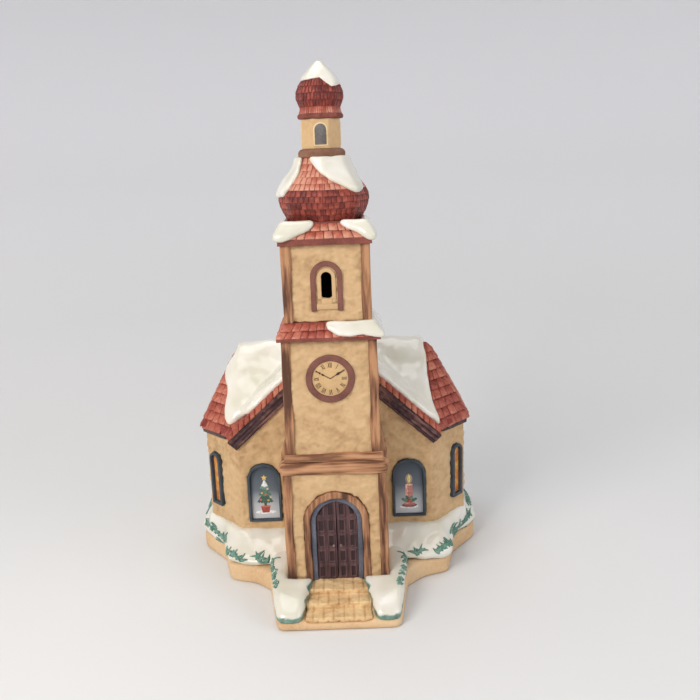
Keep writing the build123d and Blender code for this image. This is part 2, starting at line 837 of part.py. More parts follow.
with BuildPart() as side_window_panes:
    for plane in side_window_planes:
        with BuildSketch(plane.offset(-pane_recess)):
            with Locations((0, frame_width + fit_gap)):
                add(arch(side_pane_width - 2 * fit_gap, side_window_height - 2 * frame_width - 2 * fit_gap))
        extrude(amount=-pane_thickness)
side_window_panes.part.label = "side_window_panes"
export_step(side_window_panes.part, "parts/side_window_panes.step")

# Nave roof: lapped tile courses over the hips and the cross gable, hollow below, cut round the tower
course_share = (1 - ridge_strip) / nave_courses
gable_tiles = gable_courses()
with BuildPart() as nave_roof:
    for course in range(nave_courses):
        low = course * course_share
        high = low + course_share
        with BuildSketch(Plane.XY.offset(eave_level + roof_rise * low)):
            Polygon(*roof_section(low, nave_lap), align=None)
        with BuildSketch(Plane.XY.offset(eave_level + roof_rise * high)):
            Polygon(*roof_section(high, 0), align=None)
        loft(ruled=True)
    with BuildSketch(facing(0, 0, gable_inner_y, 0)):
        gable_space = [(nave_half, 0), (nave_half, rake_line(nave_half)), (0, rake_line(0))]
        Polygon(*both_sides(gable_space), align=None)
    extrude(amount=2 * cast_wall + rake_proud, mode=Mode.SUBTRACT)
    with BuildSketch(facing(0, 0, gable_inner_y, 0)):
        Polygon(*both_sides(gable_tiles), align=None)
        Polygon(*both_sides([(rake_x, rake_foot), (0, rake_line(0))]), align=None, mode=Mode.SUBTRACT)
    extrude(amount=gable_inner_y - gable_front)
    with BuildSketch(facing(0, 0, gable_inner_y, 0)):
        Polygon(*both_sides([(rake_x, eave_level)] + gable_tiles[1:]), align=None)
    extrude(amount=gable_inner_y - ridge_y)
    with BuildSketch(Plane.XY.offset(eave_level)):
        Polygon(*roof_section(0, -eave_overhang - cast_wall), align=None)
    with BuildSketch(Plane.XY.offset(eave_level + roof_rise * attic_share - attic_drop)):
        Polygon(*roof_section(attic_share, 0), align=None)
    loft(ruled=True, mode=Mode.SUBTRACT)
    with BuildSketch(Plane.XY.offset(ledge_top)):
        with Locations((0, tower_axis_y)):
            Rectangle(tower_width, tower_width)
    extrude(amount=tower_height, mode=Mode.SUBTRACT)
    add(nave_shell.part, mode=Mode.SUBTRACT)
nave_roof.part.label = "nave_roof"
export_step(nave_roof.part, "parts/nave_roof.step")

# Eaves band: the dark board under the tiles, round the wall head as far as the gable
with BuildPart() as eaves_band:
    with BuildSketch(Plane.XY.offset(eave_level - eave_band_height)):
        Polygon(*nave_outline(eave_band_proud), align=None)
        Polygon(*nave_outline(0), align=None, mode=Mode.SUBTRACT)
        with Locations((0, gable_y + rake_reach)):
            Rectangle(2 * nave_half, nave_depth, align=(Align.CENTER, Align.MAX), mode=Mode.SUBTRACT)
    extrude(amount=eave_band_height)
eaves_band.part.label = "eaves_band"
export_step(eaves_band.part, "parts/eaves_band.step")

# Barge boards: three stepped strips under the gable's tiles, from the tower down past the wall
strip_width = rake_width / rake_strips
for name, side in (("left_barge_board", -1), ("right_barge_board", 1)):
    with BuildPart() as barge_board:
        for strip in range(rake_strips):
            near = strip * strip_width
            far = near + strip_width
            with BuildSketch(facing(0, 0, gable_y, 0)):
                Polygon(
                    (side * tower_half, rake_line(tower_half) - near / cos(rake_slope)),
                    (side * (rake_x - near * sin(rake_slope)), rake_foot - near * cos(rake_slope)),
                    (side * (rake_x - far * sin(rake_slope)), rake_foot - far * cos(rake_slope)),
                    (side * tower_half, rake_line(tower_half) - far / cos(rake_slope)),
                    align=None,
                )
            extrude(amount=rake_proud - strip * rake_strip_step)
    barge_board.part.label = name
    export_step(barge_board.part, f"parts/{name}.step")

# Roof snow: two drifts over the front slope and the ridge, stopped above the gable's lowest tiles
roof_run = ridge_y - gable_y + eave_overhang
ridge_snow_wrap = roof_run * (ridge_strip + snow_wrap_courses * course_share)
for name, side, drift in (("left_roof_snow", -1, left_drift), ("right_roof_snow", 1, right_drift)):
    edge = [(side * reach * ridge_half, eave_level + share * roof_rise) for reach, share in drift]
    drift_top = eave_level + drift[-1][1] * roof_rise
    tower_line = rake_line(tower_half)
    with BuildPart() as roof_snow:
        add(snow_bed(snow_depth))
        with BuildSketch(facing(0, 0, gable_front + snow_setback, 0)):
            with BuildLine():
                Spline(*edge)
                Polyline(edge[-1], (0, drift_top), (0, tower_line), (side * tower_half, tower_line), edge[0])
            make_face()
        extrude(amount=gable_front + snow_setback - ridge_y - ridge_snow_wrap, mode=Mode.INTERSECT)
        add(snow_bed(0), mode=Mode.SUBTRACT)
        with BuildSketch(Plane.XY.offset(ledge_top)):
            with Locations((0, tower_axis_y)):
                Rectangle(tower_width + 2 * board_proud, tower_width + 2 * board_proud)
        extrude(amount=tower_height, mode=Mode.SUBTRACT)
    roof_snow.part.label = name
    export_step(roof_snow.part, f"parts/{name}.step")

# Steeple levels, up from the seam on the tower's top
skirt_foot = tower_top + seam_gap
belfry_foot = skirt_foot + skirt_fascia + skirt_rise
pent_foot = belfry_foot + belfry_height
dome_level = pent_foot + pent_fascia + pent_rise
ring_level = dome_level + dome_height
drum_level = ring_level + lantern_ring_height
cap_eave_level = drum_level + drum_height
cap_level = cap_eave_level + cap_eave_height
spigot_half = tower_half - cast_wall - spigot_clearance
shaft_half = spigot_half - spigot_wall
belfry_half = belfry_width / 2
quarter_turns = (0, 90, 180, 270)
slot_turns = (0, 90, 270)


def tower_plane(level):
    """Level plane centred on the tower's axis."""
    return Plane((0, tower_axis_y, level))


def tower_face(turn, reach, level):
    """Upright plane on one side of the tower's axis, facing out from it."""
    angle = radians(turn)
    return facing(turn, reach * sin(angle), tower_axis_y - reach * cos(angle), level)


# Skirt roof: a low tiled hip round the tower's head, hollow, with the spigot that seats in the tower
skirt_half = skirt_width / 2
skirt_top_half = belfry_half + board_proud
skirt_run = (skirt_half - skirt_top_half) / skirt_courses
skirt_step = skirt_rise / skirt_courses
with BuildPart() as skirt_roof:
    with BuildSketch(tower_plane(skirt_foot)):
        Rectangle(skirt_width, skirt_width)
    extrude(amount=skirt_fascia)
    for course in range(skirt_courses):
        foot_half = skirt_half - course * skirt_run
        foot_level = skirt_foot + skirt_fascia + course * skirt_step
        with BuildSketch(tower_plane(foot_level)):
            Rectangle(2 * foot_half, 2 * foot_half)
        with BuildSketch(tower_plane(foot_level + skirt_step)):
            Rectangle(2 * (foot_half - skirt_run - small_lap), 2 * (foot_half - skirt_run - small_lap))
        loft(ruled=True)
    with BuildSketch(tower_plane(skirt_foot - spigot_depth)):
        Rectangle(2 * spigot_half, 2 * spigot_half)
    extrude(amount=spigot_depth)
    with BuildSketch(tower_plane(skirt_foot - spigot_depth)):
        Rectangle(2 * shaft_half, 2 * shaft_half)
    extrude(amount=spigot_depth + skirt_fascia + skirt_rise, mode=Mode.SUBTRACT)
skirt_roof.part.label = "skirt_roof"
export_step(skirt_roof.part, "parts/skirt_roof.step")

# Belfry walls: a square tube with a narrow arched slot in front and on both sides
with BuildPart() as belfry_walls:
    with BuildSketch(tower_plane(belfry_foot)):
        Rectangle(belfry_width, belfry_width)
        Rectangle(belfry_width - 2 * belfry_wall, belfry_width - 2 * belfry_wall, mode=Mode.SUBTRACT)
    extrude(amount=belfry_height)
    for turn in slot_turns:
        with BuildSketch(tower_face(turn, belfry_half, belfry_foot + slot_foot)):
            add(arch(slot_width, slot_height))
        extrude(amount=-belfry_wall, mode=Mode.SUBTRACT)
belfry_walls.part.label = "belfry_walls"
export_step(belfry_walls.part, "parts/belfry_walls.step")

# Belfry trim: corner boards, an arched moulding round each slot, and the stepped sill under it
with BuildPart() as belfry_boards:
    every_corner = ((-1, -1), (1, -1), (1, 1), (-1, 1))
    add(corner_boards(belfry_half, tower_axis_y, every_corner, belfry_foot, pent_foot))
belfry_boards.part.label = "belfry_boards"
export_step(belfry_boards.part, "parts/belfry_boards.step")

belfry_niche = belfry_arch_width - 2 * belfry_arch_band
with BuildPart() as belfry_arches:
    for turn in quarter_turns:
        with BuildSketch(tower_face(turn, belfry_half, belfry_foot + belfry_arch_foot)):
            add(arch(belfry_arch_width, belfry_arch_height))
            add(arch(belfry_niche, belfry_arch_height - belfry_arch_band), mode=Mode.SUBTRACT)
        extrude(amount=belfry_arch_proud)
belfry_arches.part.label = "belfry_arches"
export_step(belfry_arches.part, "parts/belfry_arches.step")

with BuildPart() as belfry_sills:
    for turn in quarter_turns:
        for width, height, proud in (
            (belfry_niche - 2 * fit_gap, belfry_sill_height / 2, belfry_sill_proud),
            (slot_width + 2 * fit_gap, belfry_sill_height, belfry_sill_proud / 2),
        ):
            with BuildSketch(tower_face(turn, belfry_half, belfry_foot + slot_foot - belfry_sill_height)):
                Rectangle(width, height, align=(Align.CENTER, Align.MIN))
            extrude(amount=proud)
belfry_sills.part.label = "belfry_sills"
export_step(belfry_sills.part, "parts/belfry_sills.step")

# Pent roof: fascia and steep lapped tiles between the belfry and the dome
pent_half = pent_width / 2
pent_top_half = dome_foot + small_lap
pent_run = (pent_half - pent_top_half) / pent_courses
pent_step = pent_rise / pent_courses
with BuildPart() as pent_roof:
    with BuildSketch(tower_plane(pent_foot)):
        Rectangle(pent_width, pent_width)
    extrude(amount=pent_fascia)
    for course in range(pent_courses):
        foot_half = pent_half - course * pent_run
        foot_level = pent_foot + pent_fascia + course * pent_step
        with BuildSketch(tower_plane(foot_level)):
            Rectangle(2 * foot_half, 2 * foot_half)
        with BuildSketch(tower_plane(foot_level + pent_step)):
            Rectangle(2 * (foot_half - pent_run - small_lap), 2 * (foot_half - pent_run - small_lap))
        loft(ruled=True)
pent_roof.part.label = "pent_roof"
export_step(pent_roof.part, "parts/pent_roof.step")


def tiled_onion(level, height, courses, radius_at, lap):
    """Eight-sided onion dome of lapped courses, with a corner to the front."""
    with BuildPart(mode=Mode.PRIVATE) as dome:
        for course in range(courses):
            low = course / courses
            high = (course + 1) / courses
            with BuildSketch(tower_plane(level + height * low)):
                RegularPolygon(radius_at(low) + lap, 8)
            with BuildSketch(tower_plane(level + height * high)):
                RegularPolygon(radius_at(high), 8)
            loft(ruled=True)
    return dome.part


# Main dome: the big onion in lapped tiles
with BuildPart() as main_dome:
    add(tiled_onion(dome_level, dome_height, dome_courses, main_onion, dome_lap))
main_dome.part.label = "main_dome"
export_step(main_dome.part, "parts/main_dome.step")

# Lantern: its moulded ring, eight-sided drum, small windows and tiled eave
ring_radius = lantern_ring_flats / 2
with BuildPart() as lantern_ring:
    with BuildSketch(tower_plane(ring_level)):
        RegularPolygon(ring_radius, 8, major_radius=False, rotation=22.5)
    extrude(amount=lantern_ring_height)
    chamfer(faces().sort_by(Axis.Z)[-1].edges(), length=lantern_ring_height / 3)
lantern_ring.part.label = "lantern_ring"
export_step(lantern_ring.part, "parts/lantern_ring.step")

drum_half = drum_flats / 2
with BuildPart() as lantern_drum:
    with BuildSketch(tower_plane(drum_level)):
        RegularPolygon(drum_half, 8, major_radius=False, rotation=22.5)
    extrude(amount=drum_height)
    for turn in quarter_turns:
        with BuildSketch(tower_face(turn, drum_half, drum_level + drum_window_foot)):
            add(arch(drum_window_width, drum_window_height))
        extrude(amount=-drum_window_recess, mode=Mode.SUBTRACT)
lantern_drum.part.label = "lantern_drum"
export_step(lantern_drum.part, "parts/lantern_drum.step")

with BuildPart() as lantern_windows:
    for turn in quarter_turns:
        pane_foot = drum_level + drum_window_foot + fit_gap
        with BuildSketch(tower_face(turn, drum_half - drum_window_recess, pane_foot)):
            add(arch(drum_window_width - 2 * fit_gap, drum_window_height - 2 * fit_gap))
        extrude(amount=drum_window_recess / 2)
lantern_windows.part.label = "lantern_windows"
export_step(lantern_windows.part, "parts/lantern_windows.step")

with BuildPart() as lantern_eave:
    with BuildSketch(tower_plane(cap_eave_level)):
        RegularPolygon(cap_eave_radius, 8)
    extrude(amount=cap_eave_fascia)
    with BuildSketch(tower_plane(cap_eave_level + cap_eave_fascia)):
        RegularPolygon(cap_eave_radius, 8)
    with BuildSketch(tower_plane(cap_level)):
        RegularPolygon(cap_foot + dome_lap, 8)
    loft(ruled=True)
lantern_eave.part.label = "lantern_eave"
export_step(lantern_eave.part, "parts/lantern_eave.step")

# Small dome on the lantern
with BuildPart() as small_dome:
    add(tiled_onion(cap_level, cap_height, cap_courses, cap_onion, dome_lap))
small_dome.part.label = "small_dome"
export_step(small_dome.part, "parts/small_dome.step")


def snow_patch(sections, drift, half, height, level, wrap):
    """Snow on the steeple: a jacket through level sections, cut to a drift's edge seen from the front."""
    region = [(x * half, z * height) for x, z in drift]
    with BuildPart(mode=Mode.PRIVATE) as patch:
        for section_level, outline in sections:
            with BuildSketch(tower_plane(section_level)):
                add(outline)
        loft(ruled=True)
        with BuildSketch(facing(0, 0, tower_axis_y + wrap, level)):
            Polygon(*region, align=None)
        extrude(amount=wrap + skirt_width, mode=Mode.INTERSECT)
    return patch.part


def square(half):
    """Face of a square, centred."""
    with BuildSketch(mode=Mode.PRIVATE) as face:
        Rectangle(2 * half, 2 * half)
    return face.sketch


def octagon(radius):
    """Face of an octagon with a corner to the front."""
    with BuildSketch(mode=Mode.PRIVATE) as face:
        RegularPolygon(radius, 8)
    return face.sketch


# Snow on the small dome: a coat round its peak, with a tongue on the right
peak_jacket = []
for step in range(jacket_steps):
    share = step / jacket_steps
    peak_jacket.append((cap_level + cap_height * share, octagon(cap_onion(share) + dome_lap + peak_coat)))
peak_jacket.append((cap_level + cap_height + peak_rise, octagon(peak_coat)))
with BuildPart() as peak_snow:
    add(snow_patch(peak_jacket, peak_drift, cap_widest, cap_height, cap_level, 2 * cap_widest))
    add(small_dome.part, mode=Mode.SUBTRACT)
peak_snow.part.label = "peak_snow"
export_step(peak_snow.part, "parts/peak_snow.step")

# Snow on the skirt: a drift over its right half
skirt_jacket = [
    (skirt_foot + skirt_fascia / 2, square(skirt_half + steeple_snow)),
    (skirt_foot + skirt_fascia + steeple_snow, square(skirt_half + steeple_snow)),
    (belfry_foot, square(skirt_top_half + steeple_snow)),
]
skirt_height = skirt_fascia + skirt_rise
with BuildPart() as skirt_snow:
    add(snow_patch(skirt_jacket, skirt_drift, skirt_half, skirt_height, skirt_foot, belfry_half / 2))
    add(skirt_roof.part, mode=Mode.SUBTRACT)
    with BuildSketch(tower_plane(skirt_foot)):
        Rectangle(2 * skirt_top_half, 2 * skirt_top_half)
    extrude(amount=belfry_height, mode=Mode.SUBTRACT)
skirt_snow.part.label = "skirt_snow"
export_step(skirt_snow.part, "parts/skirt_snow.step")

# Snow on the pent roof: one drift over each front corner
pent_jacket = [
    (pent_foot + pent_fascia / 2, square(pent_half + steeple_snow)),
    (pent_foot + pent_fascia + steeple_snow, square(pent_half + steeple_snow)),
    (dome_level, square(pent_top_half + steeple_snow)),
]
for name, drift in (("left_pent_snow", left_pent_drift), ("right_pent_snow", right_pent_drift)):
    with BuildPart() as pent_snow:
        add(snow_patch(pent_jacket, drift, pent_half, pent_fascia + pent_rise, pent_foot, 0))
        add(pent_roof.part, mode=Mode.SUBTRACT)
        with BuildSketch(tower_plane(pent_foot)):
            RegularPolygon(dome_foot, 8)
        extrude(amount=pent_fascia + pent_rise, mode=Mode.SUBTRACT)
    pent_snow.part.label = name
    export_step(pent_snow.part, f"parts/{name}.step")

# Snow on the main dome: a thin drift down its left side and a broad one on its right shoulder
dome_jacket = []
for step in range(jacket_steps + 1):
    share = dome_belly / dome_height * (1 - step / jacket_steps) + step / jacket_steps
    jacket_radius = main_onion(share) + dome_lap + steeple_snow
    dome_jacket.append((dome_level + dome_height * share, octagon(jacket_radius)))
for name, drift in (("left_dome_snow", left_dome_drift), ("right_dome_snow", right_dome_drift)):
    with BuildPart() as dome_snow:
        add(snow_patch(dome_jacket, drift, dome_widest, dome_height, dome_level, dome_neck / 2))
        add(main_dome.part, mode=Mode.SUBTRACT)
    dome_snow.part.label = name
    export_step(dome_snow.part, f"parts/{name}.step")

# Lamp holder: flange outside the back wall, plug in its hole, barrel with the screw socket inside
lamp_plane = Plane.XY.offset(lamp_z)
lamp_axis = Axis((0, 0, lamp_z), (0, 1, 0))
flange_y = back_y + lamp_clearance / 2
flange_back = flange_y + flange_thickness
barrel_end = back_y - cast_wall - barrel_length
socket_radius = cap_diameter / 2 + screw_fit + shell_thickness + fit_gap
socket_end = barrel_end + cap_length + screw_fit + contact_height
with BuildPart() as lamp_holder:
    for diameter, start, end in (
        (barrel_diameter, barrel_end, flange_y),
        (lamp_hole - 2 * lamp_clearance, back_y - cast_wall, flange_y),
        (flange_diameter, flange_y, flange_back),
    ):
        with BuildSketch(facing(180, 0, start, lamp_z)):
            Circle(diameter / 2)
        extrude(amount=end - start)
    with BuildSketch(facing(180, 0, barrel_end, lamp_z)):
        Circle(socket_radius)
    extrude(amount=socket_end - barrel_end, mode=Mode.SUBTRACT)
    with BuildSketch(facing(180, 0, flange_back, lamp_z)):
        Circle(cord_hole / 2)
    extrude(amount=-cord_hole_depth, mode=Mode.SUBTRACT)
lamp_holder.part.label = "lamp_holder"
export_step(lamp_holder.part, "parts/lamp_holder.step")

# Lamp clips: two leaf springs on the barrel that bear on the edge of the hole
clip_foot = barrel_end + clip_setback
clip_head = back_y - cast_wall - clip_clearance
clip_reach = lamp_hole / 2 - lamp_clearance
with BuildPart() as lamp_clips:
    for side in (-1, 1):
        with BuildSketch(lamp_plane):
            Polygon(
                (side * (barrel_diameter / 2 + fit_gap), clip_foot),
                (side * (barrel_diameter / 2 + fit_gap + clip_thickness), clip_foot),
                (side * clip_reach, clip_head),
                (side * (clip_reach - clip_thickness), clip_head),
                align=None,
            )
        extrude(amount=clip_width / 2, both=True)
lamp_clips.part.label = "lamp_clips"
export_step(lamp_clips.part, "parts/lamp_clips.step")

# Socket shell and centre contact
with BuildPart() as socket_shell:
    with BuildSketch(facing(180, 0, barrel_end, lamp_z)):
        Circle(socket_radius - fit_gap)
        Circle(cap_diameter / 2 + screw_fit, mode=Mode.SUBTRACT)
    extrude(amount=cap_length)
socket_shell.part.label = "socket_shell"
export_step(socket_shell.part, "parts/socket_shell.step")

with BuildPart() as centre_contact:
    with BuildSketch(facing(180, 0, socket_end, lamp_z)):
        Circle(contact_diameter / 2)
    extrude(amount=-contact_height)
centre_contact.part.label = "centre_contact"
export_step(centre_contact.part, "parts/centre_contact.step")

# Bulb: screw cap and pear-shaped glass
with BuildPart() as bulb_cap:
    with BuildSketch(facing(180, 0, barrel_end, lamp_z)):
        Circle(cap_diameter / 2)
    extrude(amount=cap_length)
    fillet(faces().sort_by(Axis.Y)[-1].edges(), radius=cap_diameter / 6)
bulb_cap.part.label = "bulb_cap"
export_step(bulb_cap.part, "parts/bulb_cap.step")

with BuildPart() as bulb_glass:
    with BuildSketch(lamp_plane):
        with BuildLine():
            Spline(
                (bulb_neck / 2, barrel_end),
                (bulb_diameter / 2, barrel_end - bulb_belly),
                (0, barrel_end - bulb_length),
                tangents=((0.3, -1), (-1, 0)),
            )
            Polyline((0, barrel_end - bulb_length), (0, barrel_end), (bulb_neck / 2, barrel_end))
        make_face()
    revolve(axis=lamp_axis)
bulb_glass.part.label = "bulb_glass"
export_step(bulb_glass.part, "parts/bulb_glass.step")
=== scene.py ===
# %% [markdown]
# # A lit ceramic village church
# This lesson dresses a CAD model of a cast and hand-stained church. The CAD solids give every size and place.
# Blender adds what a mould and a brush add: rough stucco, single roof tiles, soft snow, hewn timber and paint.

# %% Load the frame
import math
import random

import bmesh
import bpy
from mathutils import Matrix, Vector, noise
from mathutils.bvhtree import BVHTree


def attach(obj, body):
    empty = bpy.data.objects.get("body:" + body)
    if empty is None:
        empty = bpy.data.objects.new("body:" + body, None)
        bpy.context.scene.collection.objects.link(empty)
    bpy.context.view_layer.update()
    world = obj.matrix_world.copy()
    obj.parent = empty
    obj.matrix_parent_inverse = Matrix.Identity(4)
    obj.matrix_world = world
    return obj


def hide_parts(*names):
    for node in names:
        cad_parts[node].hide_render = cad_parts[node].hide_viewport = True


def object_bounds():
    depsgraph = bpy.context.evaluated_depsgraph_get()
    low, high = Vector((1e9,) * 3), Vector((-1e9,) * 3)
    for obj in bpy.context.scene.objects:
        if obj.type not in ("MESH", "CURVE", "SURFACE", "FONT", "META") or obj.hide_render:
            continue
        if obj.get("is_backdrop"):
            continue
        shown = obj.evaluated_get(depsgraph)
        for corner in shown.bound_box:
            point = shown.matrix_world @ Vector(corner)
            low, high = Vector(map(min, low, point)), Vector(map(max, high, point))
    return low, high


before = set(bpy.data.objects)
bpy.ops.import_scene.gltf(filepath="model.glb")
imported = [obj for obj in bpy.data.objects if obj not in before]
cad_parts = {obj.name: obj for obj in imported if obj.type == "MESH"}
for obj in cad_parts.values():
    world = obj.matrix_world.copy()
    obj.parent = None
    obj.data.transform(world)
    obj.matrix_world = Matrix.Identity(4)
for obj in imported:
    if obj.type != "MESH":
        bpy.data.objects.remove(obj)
cad_low, cad_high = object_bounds()
mm = 0.001
print("church", [round((high - low) / mm, 1) for low, high in zip(cad_low, cad_high)], "mm")

# %% [markdown]
# ## Camera
# The picture was taken from close by, a little above the roof, with the camera slightly tilted on its axis.
# A field of view is a lens length on a sensor width, so the focal length in pixels gives the lens directly.

# %% Camera
picture_width = 700
focal_pixels = 800
look_down = math.radians(13.9)
roll = math.radians(-2.1)
camera_place = 7.7 * mm, -322.5 * mm, 173 * mm

camera_data = bpy.data.cameras.new("camera")
camera_data.sensor_width = 36
camera_data.lens = camera_data.sensor_width * focal_pixels / picture_width
camera = bpy.data.objects.new("camera", camera_data)
turn = Matrix.Rotation(math.pi / 2 - look_down, 4, "X") @ Matrix.Rotation(roll, 4, "Z")
camera.matrix_world = Matrix.Translation(camera_place) @ turn
bpy.context.scene.collection.objects.link(camera)
bpy.context.scene.camera = camera
print("lens", round(camera_data.lens, 2), "mm")

# %% [markdown]
# ## Colours and nodes
# Painters pick colours as they look on a screen, and shaders work in linear light, so one function turns a
# hex colour to linear. Another adds a node, sets it, links it and hands on its output, which keeps each material
# short.

# %% Colour and node helpers
bpy.context.scene.view_settings.view_transform = "Standard"


def linear(colour):
    """Linear RGBA of an sRGB hex colour."""
    channels = [int(colour[i:i + 2], 16) / 255 for i in (1, 3, 5)]
    return [c / 12.92 if c <= 0.04045 else ((c + 0.055) / 1.055) ** 2.4 for c in channels] + [1.0]


def set_inputs(tree, node, inputs):
    """Sets a node's inputs to values, or links them to the outputs of other nodes."""
    for socket, value in dict(inputs).items():
        if isinstance(value, bpy.types.NodeSocket):
            tree.links.new(value, node.inputs[socket])
        else:
            node.inputs[socket].default_value = value


def add_node(tree, kind, inputs=(), out=0, stops=(), **settings):
    """Adds a node with its settings, inputs and, on a ramp, (position, hex colour) stops. Gives one output."""
    node = tree.nodes.new("ShaderNode" + kind)
    for name, value in settings.items():
        setattr(node, name, value)
    set_inputs(tree, node, inputs)
    if stops:
        elements = node.color_ramp.elements
        while len(elements) < len(stops):
            elements.new(0.5)
        for element, (position, colour) in zip(elements, stops):
            element.position = position
            element.color = linear(colour)
    return node.outputs[out]


def start_material(name, roughness, specular=0.5):
    """A Principled material to fill in: the material, its node tree and its shader."""
    material = bpy.data.materials.new(name)
    material.use_nodes = True
    tree = material.node_tree
    shader = tree.nodes["Principled BSDF"]
    set_inputs(tree, shader, {"Roughness": roughness, "Specular IOR Level": specular})
    return material, tree, shader


print("view", bpy.context.scene.view_settings.view_transform)

# %% [markdown]
# ## Table and light
# The church stands on a pale cloth that runs up into a plain grey wall. A spun profile makes both in one piece,
# all round, so every view has the same ground. The light is soft, strongest from the front left and above.

# %% Table
table_cloth, tree, shader = start_material("cotton_table_cloth", 0.9, 0.2)
place = add_node(tree, "TexCoord", out="Object")
height = add_node(tree, "SeparateXYZ", {"Vector": place}, "Z")
rise = add_node(tree, "MapRange", {"Value": height, "From Min": 0.0, "From Max": 0.2})
cloth = add_node(tree, "ValToRGB", {"Fac": rise}, stops=[(0.0, "#DCDCDB"), (1.0, "#E4E4E7")])
set_inputs(tree, shader, {"Base Color": cloth})


def spun(profile, steps, middle=0.0):
    """A profile of (radius, level) points turned right round an upright axis at y = middle; mm."""
    shape = bmesh.new()
    rim = [shape.verts.new((radius * mm, middle * mm, level * mm)) for radius, level in profile]
    line = [shape.edges.new(pair) for pair in zip(rim, rim[1:])]
    bmesh.ops.spin(
        shape, geom=rim + line, axis=(0, 0, 1), cent=(0, middle * mm, 0), angle=math.tau, steps=steps, use_merge=True
    )
    bmesh.ops.remove_doubles(shape, verts=shape.verts, dist=0.01 * mm)
    return shape


below = 0.02  # a hair under the church's foot, in mm
profile = [(0, 0), (180, 0), (260, 4), (400, 40), (560, 150), (660, 330), (690, 620)]
cove = spun([(radius, level - below) for radius, level in profile], 64)
bmesh.ops.recalc_face_normals(cove, faces=cove.faces)
if sum(face.normal.z for face in cove.faces) < 0:
    bmesh.ops.reverse_faces(cove, faces=cove.faces)
mesh = bpy.data.meshes.new("table")
cove.to_mesh(mesh)
cove.free()
mesh.materials.append(table_cloth)
for face in mesh.polygons:
    face.use_smooth = True
table = bpy.data.objects.new("table", mesh)
bpy.context.scene.collection.objects.link(table)
table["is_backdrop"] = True
print("table", len(mesh.polygons), "faces")

# %% Light
world = bpy.data.worlds.new("room")
bpy.context.scene.world = world
world.use_nodes = True
sky_light = {"Color": linear("#F2F3F6"), "Strength": 0.42}
set_inputs(world.node_tree, world.node_tree.nodes["Background"], sky_light)


def soft_lamp(name, place, aim, size, power, colour):
    """A square area lamp that points at a place; sizes in mm."""
    data = bpy.data.lights.new(name, "AREA")
    data.size = size * mm
    data.energy = power
    data.color = linear(colour)[:3]
    lamp = bpy.data.objects.new(name, data)
    lamp.location = Vector(place) * mm
    lamp.rotation_euler = (Vector(aim) - Vector(place)).to_track_quat("-Z", "Y").to_euler()
    bpy.context.scene.collection.objects.link(lamp)


soft_lamp("key", (-330, -420, 430), (0, -10, 80), size=260, power=2.0, colour="#FFF8F0")
soft_lamp("glint", (-190, -430, 400), (0, -10, 60), size=70, power=0.3, colour="#FFFFFF")
soft_lamp("fill", (420, -260, 330), (0, 0, 80), size=300, power=0.6, colour="#F4F6FF")
soft_lamp("top", (-60, 60, 620), (0, 0, 60), size=420, power=1.1, colour="#FFFFFF")
print("lamps", sorted(light.name for light in bpy.data.lights))

# %% [markdown]
# ## Finishes
# The church is bisque: clay fired once and left unglazed, so it is matte and a little chalky. Thin stains are
# brushed on and wiped back, so they sit darker in hollows and vary from place to place. Only the snow is glazed.

# %% Bisque and stains
# The grit of real bisque is too fine to show at this size, so it is drawn as coarse as it needs to show
grit_share, hollow_stain_and_shade = 0.28, 0.1


def stained_bisque(name, light, middle, dark, blotch=14.0, grit=0.9, relief=0.12, roughness=0.82):
    """Matte stained bisque: slow blotches of wiped stain, darker in the hollows and where painted shade is marked in
    the relief, and a fine grit. Sizes in mm.
    """
    material, tree, shader = start_material(name, roughness, 0.25)
    place = add_node(tree, "TexCoord", out="Object")
    wash = add_node(tree, "TexNoise", {"Vector": place, "Scale": 1 / (blotch * mm), "Detail": 5.0, "Roughness": 0.6})
    grain = add_node(tree, "TexNoise", {"Vector": place, "Scale": 1 / (grit * mm), "Detail": 3.0})
    tone = add_node(tree, "Mix", {"Factor": grit_share, "A": wash, "B": grain})
    # The relief attribute darkens hollows where wiped stain settles; on the steps it also holds painted shade at the
    # foot of each riser
    tooling_and_shade = add_node(tree, "Attribute", out="Fac", attribute_name="relief")
    stain_with_shade = add_node(tree, "Math", {0: tooling_and_shade, 1: hollow_stain_and_shade, 2: tone}, operation="MULTIPLY_ADD")
    set_inputs(tree, shader, {
        "Base Color": add_node(tree, "ValToRGB", {"Fac": stain_with_shade}, stops=[(0.3, dark), (0.47, middle), (0.64, light)]),
        "Normal": add_node(tree, "Bump", {"Height": grain, "Strength": 0.5, "Distance": relief * mm}),
    })
    return material


stucco = stained_bisque("stained_bisque_stucco", "#CEAE85", "#C5A47A", "#B2906A", blotch=13.0, grit=1.5, relief=0.45)
base_bisque = stained_bisque("stained_bisque_base", "#DDBF98", "#D4B289", "#C09A72", blotch=22.0)
step_bisque = stained_bisque(
    "stained_bisque_steps", "#E3C594", "#D6B384", "#BC9465", blotch=9.0, grit=0.8, relief=0.15
)
moulding_brown = stained_bisque("brown_stained_moulding", "#83584D", "#774D44", "#5E3B35", blotch=9.0)
ring_brown = stained_bisque(
    "brown_stained_ring", "#8F6A54", "#7A5643", "#5B3D31", blotch=9.0, relief=0.08, roughness=0.6
)
lantern_grey = stained_bisque("grey_stain_in_lantern", "#7C7876", "#6C6867", "#555150", blotch=6.0)
lantern_cream = stained_bisque("cream_lantern_surround", "#E2CCA2", "#D9C092", "#C4A676", blotch=6.0)
reveal_grey = stained_bisque("blue_grey_stain", "#6E717E", "#5B5E6A", "#444650", blotch=9.0)
dial_cream = stained_bisque("cream_stained_dial", "#D3B386", "#C9A779", "#B59068", blotch=9.0, grit=0.7, relief=0.05)
tile_joint = stained_bisque("dark_red_stain_in_joints", "#8E4138", "#78342F", "#5C2725", blotch=7.0)
eave_red = stained_bisque("red_stained_eave", "#905349", "#78443C", "#5C302B", blotch=8.0)
window_slate = stained_bisque(
    "slate_painted_frame", "#4C565E", "#3E474F", "#2E353C", blotch=8.0, grit=0.8, relief=0.05, roughness=0.5
)
